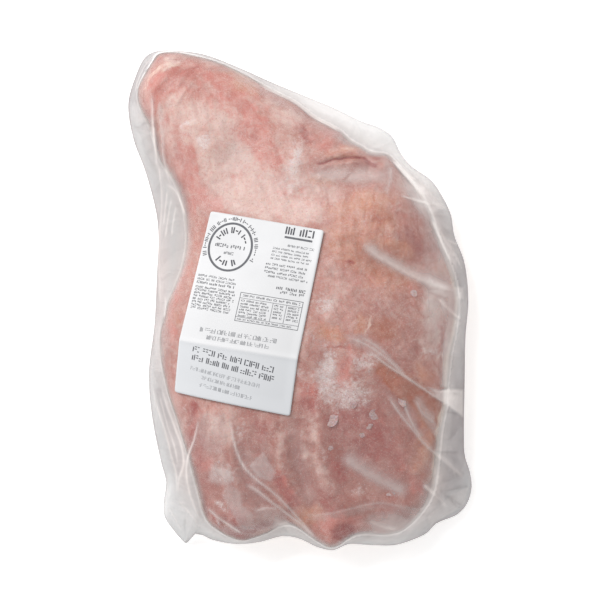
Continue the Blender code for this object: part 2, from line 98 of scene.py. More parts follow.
# The shoulder's own outline inside the bag, in the same order
MEAT_OUTLINE = (
    # the shank and the long edge down to the elbow
    (-126, 217.5), (-112, 219.5), (-96, 217), (-79, 213), (-64, 207.5), (-49.5, 200.5), (-35, 192.5),
    (-20, 184.5), (-6.5, 178), (5, 170), (15.5, 161.5), (27, 156), (37, 150), (45, 142), (55, 136.5),
    (63, 131.5), (76, 130), (84, 124.5), (93, 114), (103, 101.5), (111, 89), (117, 76), (122, 62),
    (127, 48),
    # the long tight side
    (133, 34), (138.5, 18), (141.5, 2), (141, -14), (138.5, -30), (135, -46), (133, -62), (131.5, -78),
    (131, -92), (128, -106), (125.5, -120), (124, -136), (122.5, -150), (120.5, -164), (116, -177),
    (109, -188),
    # the blade end
    (99, -198.5), (88, -206), (74, -208.5), (60, -207.5), (50, -208.5), (42, -212.5), (34, -218),
    (26, -219.5), (17, -215.5), (8, -209.5), (-1, -203), (-9, -199.5), (-18, -201), (-28, -206.5),
    (-39, -210.5), (-51, -213.5), (-62, -210.5),
    # the slack long side
    (-72, -205), (-81, -198), (-86.5, -188), (-90.5, -173), (-94.5, -158), (-98.5, -143), (-103, -128),
    (-109, -108), (-115, -90), (-120.5, -70), (-124, -50), (-124.5, -32), (-121.5, -16), (-117, 0),
    (-111, 14), (-105.5, 28), (-102.5, 42), (-101.5, 56), (-102.5, 70), (-105, 84), (-109, 97),
    (-115, 108), (-121.5, 117), (-126.5, 127), (-130, 141), (-134.5, 154), (-140.5, 166), (-144, 176),
    (-144, 186), (-140.5, 195), (-135, 204), (-130, 212),
)
OUTLINE_STEPS = 960

# The shoulder's thickness and how its edges are rounded
SKIN_HEIGHT = 0.9
TOP_BULGE = 2.5
BOTTOM_BULGE = 2.3
SEAM = 0.4
# How many cells of the upper grids one of the lower grids is as wide as
LOWER_CELL = 5

# The cut end of the shank, which is rounded over a shorter way: middle, reach along and across, turn
SHANK_END = (-122, 198, 60, 40, 60)
SHANK_TIGHTER = 24.0

# Broad masses of the shoulder: middle x and y, reach along and across, turn in degrees, height at the
# middle
BODY_HEIGHT = 56.0
MASSES = (
    (10, -20, 205, 120, 96, 40), (60, 30, 95, 70, 100, 10), (-60, -60, 110, 55, 80, 8),
    (-95, 175, 70, 40, 118, 12),
)

# Muscles and hollows on the flesh: name, middle x and y, reach along and across, turn in degrees, height
MUSCLES = (
    ("shank_shin", -98, 165, 58, 17, 118, 5), ("shank_tendon", -118, 150, 46, 9, 104, 3.5),
    ("shank_knob", -118, 203, 22, 15, 20, 6), ("shank_heel", -133, 182, 16, 11, 70, 5),
    ("forearm", -38, 156, 44, 24, 150, 6.5), ("forearm_hollow", -58, 120, 36, 15, 60, -5),
    ("elbow_lip", 48, 126, 26, 9, 12, 7), ("elbow_round", 74, 70, 46, 38, 20, 9),
    ("elbow_hollow", 28, 102, 34, 14, 8, -6), ("breast_upper", 92, 6, 44, 26, 150, 5),
    ("breast_seam", 52, 32, 44, 11, 148, -4.5), ("breast_lower", 84, -58, 56, 30, 138, 5),
    ("blade_flat", 74, -128, 56, 42, 115, -3), ("blade_hollow", 22, -62, 34, 15, 105, -5.5),
    ("rib_first", 22, -140, 62, 9, 98, 4.5), ("rib_first_gap", 2, -146, 56, 8, 104, -4.5),
    ("rib_second", -18, -140, 60, 9, 100, 4), ("rib_second_gap", -42, -150, 52, 9, 108, -4.5),
    ("rib_third", -62, -142, 52, 10, 106, 4), ("rib_third_gap", -82, -150, 40, 7, 112, -3),
    ("brisket_point", 34, -196, 16, 13, 90, 6), ("brisket_left", -50, -192, 24, 11, 5, 5),
    ("brisket_right", 96, -180, 22, 14, 30, 4), ("neck_ridge", -106, -20, 72, 11, 88, 4),
)

# Cuts and seams in the flesh: name, line, depth, half width
SEAMS = (
    ("elbow_slit", ((12, 115.5), (30, 121), (48, 123.5), (60, 120.5), (69, 113)), 6, 2.6),
    ("forearm_notch", ((1, 150), (6, 144), (9, 136), (14, 130)), 1.2, 3.6),
    ("rib_groove_left", ((-29, -104), (-24, -140), (-14, -166), (-2, -188)), 3, 4),
    ("rib_groove_right", ((18, -124), (22, -142), (30, -158), (40, -172)), 2.6, 5),
    ("neck_cut", ((-92, -96), (-95, -106), (-98, -118)), 2.4, 3),
    ("shank_seam", ((-112, 150), (-104, 124), (-92, 100)), 2.4, 3.2),
    ("breast_cut", ((78, -58), (96, -76), (116, -96)), 2, 4),
)

# How the fibres run: middle x and y, reach, direction in degrees
FIBRES = (
    (-112, 190, 26, 42), (-130, 172, 16, 95), (-80, 160, 30, 110), (-100, 118, 22, 100),
    (-74, 118, 20, 125), (-62, 194, 24, 150), (-16, 172, 22, 155), (-42, 142, 24, 120),
    (22, 138, 20, 45), (-20, 100, 26, 115), (50, 112, 22, 5), (62, 76, 26, 80), (98, 50, 24, 100),
    (28, 40, 22, 105), (70, 0, 30, 130), (118, -30, 22, 97), (30, -40, 26, 100), (90, -78, 30, 145),
    (70, -125, 30, 120), (14, -130, 26, 92), (-40, -120, 30, 96), (-90, -115, 24, 80),
    (-80, -170, 26, 100), (-20, -175, 26, 125), (60, -185, 30, 130), (104, -170, 22, 125),
    (-112, -30, 30, 90), (20, -200, 20, 60),
)

# Where the flesh shows each tone: middle x and y, reach along and across, turn in degrees, strength
PALE = (
    (-14, 158, 18, 9, -34, 0.7), (-62, 140, 86, 46, -38, 0.42), (-20, 92, 44, 26, -10, 0.35),
    (-112, 60, 50, 16, 88, 0.5), (-60, 96, 30, 16, -20, 0.5), (-117, 171, 14, 7, 84, 1),
    (-84, 160, 30, 18, -25, 0.2), (-62, 156, 20, 11, -10, 0.6), (-78, 117, 24, 6.5, -55, 1.2),
    (-60, 122, 22, 14, -52, 0.7), (-25, 80, 36, 9, -9, 1), (-36, 108, 24, 18, -50, 0.4),
    (4, 76, 12, 8, 0, 0.7), (-72, -108, 24, 12, 84, 0.55), (32, 18, 20, 10, -62, 0.3),
    (24, -6, 12, 10, 0, 0.6), (112, -6, 12, 8, 80, 0.5), (-54, 98, 18, 8, -20, 0.7),
    (-8, 112, 14, 7, 80, 0.7), (-112, 208, 9, 3, 0, 0.9), (112, 16, 34, 12, 100, 0.35),
    (122, -22, 26, 6, 94, 0.7), (112, -34, 30, 9, 84, 0.5), (-112, 140, 22, 5, 95, 0.5),
    (24, 92, 14, 8, 0, 0.4), (-96, 150, 16, 12, 30, 0.5), (2, -34, 10, 12, 0, 0.5),
)
RED = (
    (-86, 180, 30, 10, -28, 0.6), (-58, 172, 24, 10, -40, 0.45), (-118, 187, 12, 8, 45, 1.5),
    (-106, 193, 13, 7, 42, 1.4), (-130, 173, 16, 7, 78, 1.6), (-115, 214.5, 9, 2.6, 4, 1),
    (-68, 190, 10, 8, -30, 0.9), (-90, 199, 16, 6, -12, 0.75), (-104, 122, 26, 11, 95, 0.95),
    (-94, 103, 16, 9, -45, 0.8), (-44, 143, 13, 9, -35, 1.6), (-30, 145, 8, 5, 80, 0.8),
    (-44, 169, 17, 9, -62, 0.7), (-26, 122, 18, 11, -50, 0.9), (24, 138, 14, 9, 42, 0.9),
    (-77, 84, 15, 7, -30, 1.1), (-103, 24, 12, 5, 76, 0.6), (-12, 92, 18, 10, -20, 0.45),
    (-54, 108, 10, 7, -40, 0.4), (-20, 162, 18, 8, -20, 0.15), (-116, 158, 10, 4, 80, 0.5),
    (-96, 84, 12, 5, 90, 0.7), (7, 142, 12, 8, -50, 0.7), (56, 126, 16, 5, -12, 0.7),
    (-110, 2, 16, 5, 82, 0.6), (-112, -28, 14, 5, 90, 0.7), (8, -80, 15, 10, 80, 0.9),
    (38, -60, 17, 6, 82, 1.3), (-93, -105, 15, 5, 84, 1), (-86, -142, 9, 8, 0, 1),
    (62, -112, 16, 11, -60, 0.7), (101, -163, 8, 6, -50, 0.8), (35, -200, 17, 12, 0, 1.6),
    (-16, -157, 11, 6, -62, 1), (-5, -175, 9, 6, -60, 0.9), (124, -32, 15, 3.2, 95, 0.9),
    (52, 16, 10, 8, 0, 0.4), (90, -140, 14, 7, -60, 0.5),
)
LEAN = (
    (-44, 144, 9, 6, -30, 0.5), (-112, 189, 16, 5, 40, 0.45), (-88, 184, 14, 3, -16, 0.35),
    (-133, 176, 9, 3, 70, 0.45), (12, -86, 12, 8, 85, 0.8), (52, -88, 16, 9, -10, 0.7),
    (36, -100, 18, 8, 0, 0.6), (30, -112, 12, 6, 90, 0.6), (-60, -207, 12, 4, -24, 1.2),
    (-79, -190, 12, 6, -30, 0.7), (-54, -190, 9, 7, -30, 0.8), (-44, -158, 10, 6, -40, 0.6),
    (5, 144, 10, 7, -60, 1), (99, 49, 18, 12, -60, 0.6), (70, -6, 13, 7, -25, 0.4),
    (36, -56, 10, 2.6, 84, 0.7), (4, -90, 9, 7, 80, 0.6), (-35, -114, 19, 7, 95, 0.8),
    (66, -120, 20, 14, -62, 0.9), (45, -100, 14, 8, 0, 0.6), (33, -148, 15, 8, -72, 0.9),
    (103, -160, 10, 5, -52, 0.6), (86, -142, 15, 8, -62, 0.5), (-58, -188, 13, 7, -30, 0.6),
    (74, -192, 13, 4, -48, 0.6), (24, -172, 12, 8, -40, 0.7), (-90, -132, 34, 10, 98, 0.7),
    (-50, -203, 14, 4, -8, 1), (62, 68, 15, 8, 10, 0.4), (46, -126, 22, 12, -30, 0.6),
)
DEEP = (
    (4, 145, 5, 3, 78, 0.4), (37, -203, 9.5, 7.5, 10, 1.6), (-54, -205.5, 9, 3.4, -22, 0.7),
    (-43, -201, 7, 3, -10, 0.6), (-30, -196.5, 6, 3.2, 0, 0.6), (-9, -174, 6, 4, -60, 0.6),
    (-17, -157, 7, 4, -60, 0.6), (42.5, 33, 2.8, 2.3, 0, 0.85), (-43, 140, 5, 3, -30, 0.2),
    (66, -114, 15, 10, -60, 0.45), (99, 46, 10, 6, -60, 0.25), (23, -178, 8, 3, -40, 0.6),
    (34, -150, 10, 5, -70, 0.4), (-93, -94, 10, 2.6, 76, 0.5), (61, 118.5, 6, 2.6, -30, 0.7),
    (68, 124.5, 6, 2.2, 0, 0.5),
)
TAN = (
    (-52, 186, 15, 7, -32, 2), (-64, 194, 8, 5, -30, 1.2), (16, 104, 13, 6, -15, 0.95),
    (58, 85, 24, 9, 5, 0.95), (64, 68, 20, 11, 0, 0.9), (84, 45, 13, 6, -20, 0.9),
    (32, 72, 13, 10, 80, 0.45), (36, 45, 16, 12, 0, 0.55), (24, -28, 15, 7, -8, 1),
    (52, -22, 11, 5, 84, 0.9), (-32, 143, 4.5, 4, 0, 0.9), (8, -190, 13, 9, 10, 1),
    (124, 26, 9, 6, -60, 0.7), (108, -64, 13, 8, -50, 0.7), (112, -124, 36, 12, 84, 0.85),
    (70, 20, 26, 14, -25, 0.7), (40, 129, 16, 5, 8, 1.3), (-106, -14, 10, 5, 85, 0.6),
    (96, 20, 14, 8, -25, 0.35), (60, 44, 34, 18, -20, 0.5),
)
BROWN = (
    (78, 68, 10, 3.4, 96, 0.75), (70, -27, 15, 10, -20, 1.1), (86, -70, 22, 7, -33, 1.7),
    (108, -88, 22, 9, -36, 2), (64, 70, 12, 7, 0, 0.5), (84, 42, 11, 6, -20, 0.55),
    (74, -61, 8, 4.5, -40, 1), (64, 34, 26, 14, -28, 1), (84, 2, 20, 12, -20, 0.2),
    (118, -112, 10, 6, -60, 0.9), (96, -36, 22, 14, -40, 0.15), (40, 58, 14, 8, 60, 0.3),
)
# Mauve is the flesh's duller tone, and painted shade that darkens the lower and right parts under the film
MAUVE = (
    (-88, -130, 44, 16, 100, 0.9), (40, -186, 42, 12, 0, 0.5), (-64, -190, 30, 14, -24, 0.6),
    (56, -124, 84, 74, 90, 0.72), (-40, -150, 64, 50, 0, 0.55), (40, -100, 34, 16, 0, 0.5),
    (36, -10, 60, 30, 90, 0.20), (-12, 158, 26, 12, -34, 0.15), (96, -60, 60, 36, 100, 0.40),
    (70, 60, 60, 60, 0, 0.22), (70, -130, 46, 36, -62, 0.85), (30, -150, 34, 24, 90, 0.75),
    (92, -172, 26, 18, 0, 0.6), (-38, -118, 28, 16, 92, 0.6), (-30, -172, 28, 20, -40, 0.7),
    (104, -22, 30, 18, 95, 0.15), (100, 44, 20, 16, 0, 0.7), (-80, -168, 22, 14, 98, 0.6),
    (-116, -40, 34, 7, 90, 0.7), (-8, -128, 24, 8, 90, 0.45), (26, 140, 14, 10, 45, 0.4),
    (-92, 196, 24, 8, -15, 0.4), (60, 114, 18, 6, 0, 0.4), (92, 78, 14, 10, 0, 0.2),
)
FAT = (
    (-112, 205.5, 8.5, 2.1, 2, 1.35), (-52, 199, 15, 2.2, -32, 1.1), (-127, 196, 11, 1.2, 47, 0.8),
    (-133, 189, 9, 1.2, 52, 0.7), (-110, 178, 12, 1.5, 55, 0.6), (-74, 112, 16, 1.8, -56, 0.6),
    (-126, 130, 14, 1.4, 100, 0.5), (58, -21, 10, 1, 76, 0.9),
)
FROST = (
    (21, -62, 21, 8, 80, 1.05), (54, -53, 14, 9, -20, 0.65), (41, -82, 19, 12, 10, 0.85),
    (20, -5, 11, 10, 0, 0.65), (-4, 122, 16, 7, 80, 0.7), (-84.5, 137.5, 6.5, 5, 70, 0.9),
    (-99, 152.5, 8.5, 3, 30, 0.8), (-8, 96, 9, 9, 0, 0.45), (-72, 150, 34, 24, 40, 0.12),
    (-66, -146, 14, 10, -20, 0.5), (114, -46, 12, 5, -20, 0.6), (0, -66, 12, 8, 80, 0.40),
    (113, -4, 10, 6, 80, 0.5), (-50, -113, 7, 5, 60, 0.55), (50, -165, 8, 6, 0, 0.45),
    (-68, -180, 8, 5, -30, 0.5), (10, -30, 8, 6, 0, 0.4), (-98, -96, 7, 6, 0, 0.4),
    (20, -135, 8, 5, 90, 0.35), (58, 68, 10, 6, 0, 0.35),
)

# Lines drawn in one tone on the flesh: tone, line, half width, strength
MARKS = (
    # The first two deep lines are painted shadow in the elbow slit, and the mauve line is painted shade
    # below it
    ("deep", ((13, 116.5), (20, 119), (30, 121.5), (40, 123.2), (49, 124.4), (56, 123.8)), 0.9, 1.4),
    ("deep", ((54, 124), (60, 121), (67, 115.5)), 1.4, 0.8),
    ("lean", ((24, 124), (36, 127), (48, 128.5), (58, 126)), 2, 0.7),
    ("fat", ((26, 129), (38, 132), (50, 132.5)), 1.2, 0.7),
    ("mauve", ((44, 120.5), (54, 119.5), (62, 115)), 4, 1.2),
    ("fat", ((-97, 205), (-110, 203.5), (-121, 196), (-128, 187)), 1.3, 0.8),
    ("fat", ((-119, 204), (-127, 197), (-134, 188)), 1.3, 0.9),
    ("lean", ((-116, 209), (-108, 209.5), (-102, 207)), 1, 1),
    ("lean", ((-126, 206), (-118, 214), (-106, 216)), 2, 0.8),
    ("pale", ((-112, 160), (-107, 172), (-99, 185)), 1.4, 0.8),
    ("pale", ((-108, 183), (-103, 189), (-97, 194)), 1.2, 0.8),
    ("lean", ((-90, -84), (-93, -104), (-97, -126)), 3.4, 1.2),
    ("lean", ((-24, -148), (-17, -160), (-8, -172), (0, -182)), 4.5, 0.9),
    ("pale", ((11, -84), (12, -110), (14, -134), (22, -156), (34, -172)), 6.5, 0.48),
    ("pale", ((-60, -90), (-61, -110), (-58, -126)), 4.6, 0.5),
    ("pale", ((-18, -104), (-17, -122), (-19, -140), (-14, -152)), 4, 0.5),
    ("pale", ((2, -108), (3, -128), (8, -150)), 2.4, 0.4),
    ("lean", ((-51, -206), (-41, -200), (-30, -197), (-20, -193)), 2.6, 0.9),
    ("deep", ((20, -41), (32, -40), (44, -42)), 1, 0.6),
    ("deep", ((-97, 200), (-88, 203), (-78, 201), (-66, 196)), 1.2, 0.4),
    ("lean", ((123, -20), (124.5, -34), (126, -48)), 1.8, 0.9),
)
TONES = {
    "pale": PALE, "red": RED, "lean": LEAN, "deep": DEEP, "tan": TAN, "brown": BROWN, "mauve": MAUVE,
    "fat": FAT, "frost": FROST,
}

# The cut edge of the skin: how far inside the shoulder's outline it shows on the right, and elsewhere
SKIN_EDGE_RIGHT = 6.4
SKIN_EDGE = 1.8
SKIN_EDGE_WIDTH = 2.6

# Folds of the film: name, line, height, half width, strength of its bright crest, which is a painted
# highlight and partly the denser film at the fold, then the whitish band along it: half width, how far
# it lies to the left of the line, strength
FOLDS = (
    ("elbow_band", ((50, 52), (62, 41), (78, 31), (95, 22), (112, 14.5), (142, 6)), 3, 4.5, 0.12, 6.5, 0,
     0.85),
    ("elbow_lower", ((119, 2.5), (127, -6), (135, -12.5), (143, -17.5)), 1.6, 1.8, 0.7, 3.5, 1, 0.35),
    ("breast_fine", ((40, -31), (56, -38), (74, -50), (90, -64.5), (100, -72)), 0.5, 1.2, 0.7, 1.2, 0,
     0.2),
    ("breast_finer", ((50, -31), (64, -38.5), (80, -53), (94, -67.5)), 0.5, 1.2, 0.55, 1.2, 0, 0.2),
    ("breast_ridge", ((54, -41.5), (64, -48), (75, -56.5), (90, -66), (105, -76), (118, -84.5),
     (131, -93), (143, -101)), 3, 1.6, 0.95, 1.5, 0.6, 0.40),
    ("breast_fan", ((108, -75), (122, -79.5), (143, -80)), 1, 2, 0.45, 2, 0, 0.2),
    ("blade_ridge", ((73, -77), (80, -90), (88, -101), (97, -112), (106, -123), (116, -133), (127, -140),
     (136, -150), (138, -161)), 2.4, 1.9, 0.8, 2.6, 1.4, 0.35),
    ("blade_twin", ((88, -84), (93, -98), (100, -112), (108, -123)), 1.6, 2.2, 0.3, 3, 0, 0.5),
    ("blade_facet", ((99, -82), (106, -98), (118, -108)), 1.4, 2.2, 0.35, 4.5, 2, 0.45),
    ("side_fold", ((118, -134), (131, -145), (147, -159)), 1.8, 2, 0.7, 4, 0, 0.45),
    ("blade_corner", ((106, -160), (115, -168), (125, -177), (131, -186)), 2, 2.2, 0.75, 3, 0, 0.5),
    ("blade_end", ((-2, -188), (20, -186), (45, -181), (70, -176.5), (90, -180.5), (105, -183),
     (119, -180)), 1.2, 1.5, 0.5, 4, -3, 0.18),
    ("blade_soft", ((34, -132), (50, -144), (66, -154), (82, -162.5), (97, -170)), 0.8, 6, 0, 7.6, -1,
     0.62),
    ("blade_tip", ((58, -192), (72, -198), (88, -202)), 1.2, 2.5, 0.2, 5, 0, 0.45),
    ("rib_long", ((-61, -98), (-57, -122), (-49, -143), (-38, -155), (-24, -166), (-10, -180), (1, -193),
     (16, -207)), 2.2, 1.7, 0.7, 2, -0.8, 0.30),
    ("rib_short", ((-51, -158), (-40, -163), (-26, -174), (-11, -186), (3, -197), (16, -210)), 1.8, 1.6,
     0.6, 2.4, -1.2, 0.40),
    ("rib_arc", ((-39, -184), (-30, -181), (-18, -181.5)), 1.2, 1.5, 0.55, 2.5, -1, 0.3),
    ("neck_inner", ((-124, -74), (-118.5, -92), (-110.5, -113.5), (-103.5, -134), (-103, -146),
     (-107, -157), (-108.5, -176)), 1.8, 1.4, 0.75, 1.8, 1, 0.4),
    ("neck_outer", ((-133, -72), (-129.5, -91), (-121.5, -113.5), (-115, -138), (-110.5, -154),
     (-109.5, -178)), 1.8, 1.4, 0.8, 1.8, 1, 0.4),
    ("neck_crease", ((-109, -176), (-104, -183), (-94, -193), (-88, -205)), 1.4, 1.3, 0.6, 2.4, 1.4,
     0.5),
    ("neck_middle", ((-126, -80), (-118, -112), (-111, -132), (-108, -150)), 1, 1.3, 0.5, 1.6, 0, 0.2),
    ("neck_cross", ((-87, -98), (-92.5, -122), (-98, -136), (-100, -152), (-97.5, -169), (-93, -182),
     (-86, -199)), 1.4, 1.4, 0.7, 2, 0, 0.35),
    ("neck_tip", ((-118, -186), (-112, -196), (-106, -208)), 1, 1.3, 0.5, 2, 0, 0.3),
    ("side_edge", ((-127.5, 136), (-123.5, 103), (-124, 82), (-127, 57), (-126.5, 20), (-124, -12)), 1,
     1.4, 0.6, 2.4, 1.2, 0.4),
    ("side_fan_1", ((-117.5, 98), (-120, 82), (-122.5, 66)), 0.8, 1.2, 0.7, 1.6, 0.6, 0.3),
    ("side_fan_2", ((-113, 92), (-117.5, 74), (-121, 55)), 0.8, 1.2, 0.6, 1.6, 0.6, 0.3),
    ("side_fan_3", ((-109, 84), (-112.5, 70), (-114.5, 56)), 0.8, 1.2, 0.6, 1.6, 0.6, 0.3),
    ("side_crinkle", ((-119, 103), (-110, 96.5), (-105, 86.5), (-100, 73)), 0.8, 1.3, 0.6, 1.8, 0, 0.3),
    ("side_wrinkle", ((-120, 4), (-118.5, -5), (-119.5, -16)), 0.5, 1.2, 0.35, 1.6, 0, 0.2),
    ("shank_gap", ((-147, 183), (-140.5, 202), (-131, 213.5), (-118, 219)), 0.8, 1.3, 0.5, 1.8, 0, 0.3),
    ("neck_corner", ((-83, -181), (-72, -190), (-60, -198), (-49, -206)), 1.6, 1.6, 0.6, 2.2, 0, 0.4),
    ("neck_low", ((-76, -186), (-72, -193), (-71, -198)), 1, 1.4, 0.4, 2, 0, 0.3),
    ("shank_long", ((-128, 182), (-128.5, 160), (-127.5, 138), (-125, 112)), 1.8, 1.4, 0.65, 2.4, -1.2,
     0.40),
    ("shank_short", ((-123, 178), (-121, 150), (-119, 122), (-112, 96)), 1.4, 1.6, 0.15, 2.6, 0, 0.35),
    ("forearm_edge", ((-40, 191), (-22, 181.5), (-4, 173), (10, 161.5), (25, 153), (40, 145)), 1.2, 1.6,
     0.6, 3, 1.5, 0.50),
    ("elbow_edge", ((79, 125), (86, 117), (95, 106.5), (105, 95), (114, 86.5), (127, 82)), 2.2, 2.2, 0.5,
     4.5, 1, 0.85),
    ("elbow_cross", ((86, 90.5), (96, 88), (106, 86), (120, 84)), 1.5, 1.4, 0.75, 1.8, 0, 0.35),
    ("elbow_side", ((114, 73), (120, 60), (125, 50), (131, 38), (140, 27)), 2, 2.2, 0.5, 4.5, 1, 0.8),
    ("elbow_notch", ((129, 54), (134, 51.5), (141, 49)), 1.2, 1.5, 0.4, 2, 0, 0.4),
    ("elbow_soft", ((6, 110), (26, 107.5), (52, 105), (82, 105.5)), 1, 5, 0, 8, 0, 0.40),
    ("elbow_vertical", ((74, 90), (78, 104), (80, 118)), 1, 3, 0.1, 4, 0, 0.4),
)
FOLD_FADE = 0.16

# Flat facets of the film with crisp edges, lit ones lighter with the film's haze and painted light, the
# others in painted shade: outline, softness of its edge, strength, whether it is lit
FACETS = (
    (((111, -76), (122, -79), (131, -78), (145, -80), (145, -104), (131, -93), (121, -85)), 2.5, 0.62,
     True),
    (((87, 118), (99, 102), (108, 93), (117, 85), (130, 81), (121, 90), (111, 99), (101, 108),
     (93, 116)), 3.5, 0.55, True),
    (((116, 74), (121, 62), (128, 50), (136, 39), (143, 28), (139, 40), (131, 52), (124, 62), (119, 70)),
     2.5, 0.50, True),
    (((121, 2), (128, -8), (138, -14), (141, -21), (134, -30), (131, -47), (127, -46), (127, -20)), 3.5,
     0.42, True),
    (((98, -86), (107, -89), (116, -101), (122, -114), (118, -119), (110, -108), (103, -97)), 3.5, 0.42,
     True),
    (((112, 8), (126, 2), (144, 1), (144, 11), (126, 13)), 4, 0.55, True),
    (((113, -192), (124, -182), (134, -172), (151, -168), (148, -184), (131, -194), (118, -203)), 3.5,
     0.34, True),
    (((127, -100), (133, -97), (134, -112), (129, -136), (122, -140), (122, -122)), 4, 0.22, True),
    (((-77, -144), (-62, -147), (-57, -156), (-62, -162), (-80, -158)), 5, 0.42, True),
    (((-63, -157), (-52, -166), (-50, -179), (-40, -186), (-38, -201), (-50, -201), (-59, -186),
     (-68, -170)), 4, 0.36, True),
    (((-86, -98), (-66, -98), (-62, -118), (-68, -134), (-84, -130), (-90, -116)), 6, 0.26, True),
    (((118, -138), (126, -160), (118, -186), (98, -204), (84, -202), (104, -184), (110, -160)), 9, 0.26,
     True),
    (((58, -186), (84, -184), (98, -196), (86, -208), (62, -204)), 6, 0.25, True),
    (((90, 110), (112, 92), (124, 70), (132, 40), (134, 8), (124, 8), (119, 40), (108, 70), (92, 90)), 9,
     0.34, True),
    (((-40, -181), (-26, -180), (-14, -184), (-10, -196), (-22, -200), (-38, -203)), 3, 0.30, True),
    (((-131, -78), (-121, -78), (-111, -113), (-104, -134), (-104, -147), (-109, -158), (-115, -138),
     (-122, -113)), 2.5, 0.80, False),
    (((-128, 10), (-118, 14), (-119, -40), (-121, -80), (-130, -80), (-129, -30)), 4, 0.40, False),
    (((-103, 88), (-97, 72), (-94, 52), (-98, 30), (-106, 12), (-113, 2), (-109, 16), (-104, 32),
     (-102, 50), (-102, 66)), 10, 0.30, True),
    (((40, -29), (56, -30), (70, -39), (84, -57), (94, -69), (76, -57), (58, -45), (42, -37)), 5, 0.30,
     True),
    (((-44, -143), (-32, -131), (-21, -149), (-25, -157), (-36, -154)), 1.5, 0.40, True),
    (((129, 8), (140, 4), (138, -22), (130, -50), (129, -76), (123, -76), (124, -46), (128, -20)), 4.5,
     0.55, True),
    (((124, -90), (130, -92), (126, -112), (122, -140), (114, -146), (120, -114)), 5, 0.25, True),
    (((-125, 140), (-119, 136), (-120, 100), (-117, 78), (-123, 78), (-127, 110)), 4, 0.40, False),
    (((-146, 168), (-134, 158), (-128, 143), (-127, 150), (-133, 170), (-141, 178)), 3, 0.20, False),
    (((119, 81), (129, 80), (135, 61), (137, 52), (130, 52), (122, 65)), 3, 0.60, False),
    (((131, 50), (138, 49), (144, 34), (145, 27), (136, 41)), 2.5, 0.60, False),
    (((128, -140), (137, -150), (139, -164), (132, -176), (124, -178), (121, -160)), 4, 0.45, False),
    (((135, -98), (145, -105), (145, -134), (139, -130), (136, -116)), 3, 0.55, False),
)

# Milky patches where the film stands off the flesh, in the same form as the tones
MILK = (
    (54, 109, 34, 10, 2, 0.40), (104, 92, 18, 9, -52, 0.7), (-64, -148, 18, 12, -35, 0.45),
    (-42, -182, 26, 14, -20, 0.35), (-112, 120, 50, 9, 92, 0.25), (126, -86, 14, 6, -20, 0.7),
    (112, -100, 12, 5, -58, 0.35), (-20, 98, 30, 10, 0, 0.3), (2, 120, 18, 9, 70, 0.35),
    (78, -193, 34, 13, 4, 0.45), (-10, -199, 18, 5, -20, 0.6), (128, 10, 18, 6, 80, 0.3),
    (-110, -134, 40, 6, 102, 0.4), (114, -8, 30, 8, 95, 0.6), (118, -160, 20, 8, 70, 0.4),
    (100, -38, 20, 14, 80, 0.2), (128, -40, 26, 4, 96, 0.35), (-118, -40, 40, 5, 90, 0.4),
)
STAND_OFF = 7.0

# The label's left and right ends at its top edge, its crease and its bottom edge
LABEL_LINES = (
    ((-77.3, 77), (20.6, 59.6)), ((-105, -34.6), (-1.9, -50.3)), ((-109.6, -80.2), (-8.6, -99.8)),
)
LABEL_CREASE = 0.715
LABEL_WIDTH = 100.0
LABEL_HEIGHT = 160.0
LABEL_CORNER = 2.0
LABEL_FADE = 14.0

# Flakes of ice under the film: middle x and y, half length, half width, turn in degrees
FLAKES = (
    (27, -102.5, 7, 6, 80), (64.5, -99, 5, 4.6, 30), (88, -86.5, 6.6, 3.6, 104),
    (60, -109.5, 2.6, 1.7, 40), (53.5, -117, 2.6, 1.9, 0), (26.3, -128, 2.6, 2, 0), (98, 5.5, 3, 2.9, 0),
    (46, -90.5, 3.4, 2.8, 0), (79, -169, 4, 1.8, 10),
)

# ---------------------------------------------------------------------------------------------
# Curves, distances and masks


def closed_curve(points, steps):
    """A smooth closed curve through the points, as evenly spaced places along it."""
    knots = np.array(points, float)
    count = len(knots)
    dense = []
    for i in range(count):
        p0, p1, p2, p3 = (knots[(i + k) % count] for k in (-1, 0, 1, 2))
        reach = [math.dist(a[:2], b[:2]) ** 0.5 for a, b in ((p0, p1), (p1, p2), (p2, p3))]
        t0, t1 = 0.0, reach[0]
        t2 = t1 + reach[1]
        t3 = t2 + reach[2]
        for t in np.linspace(t1, t2, 24, endpoint=False):
            a1 = (t1 - t) / (t1 - t0) * p0 + (t - t0) / (t1 - t0) * p1
            a2 = (t2 - t) / (t2 - t1) * p1 + (t - t1) / (t2 - t1) * p2
            a3 = (t3 - t) / (t3 - t2) * p2 + (t - t2) / (t3 - t2) * p3
            b1 = (t2 - t) / (t2 - t0) * a1 + (t - t0) / (t2 - t0) * a2
            b2 = (t3 - t) / (t3 - t1) * a2 + (t - t1) / (t3 - t1) * a3
            dense.append((t2 - t) / (t2 - t1) * b1 + (t - t1) / (t2 - t1) * b2)
    dense = np.array(dense)
    closed = np.vstack([dense, dense[:1]])
    gaps = np.linalg.norm(np.diff(closed[:, :2], axis=0), axis=1)
    along = np.concatenate([[0.0], np.cumsum(gaps)])
    places = np.linspace(0.0, along[-1], steps, endpoint=False)
    return np.column_stack([np.interp(places, along, closed[:, k]) for k in range(closed.shape[1])])


def anticlockwise_from_right(loop):
    """The loop turned round, so that it starts on the right as the grids' own turn does."""
    loop = loop[::-1]
    return np.roll(loop, -int(np.argmin(np.abs(np.arctan2(loop[:, 1], loop[:, 0])))), axis=0)


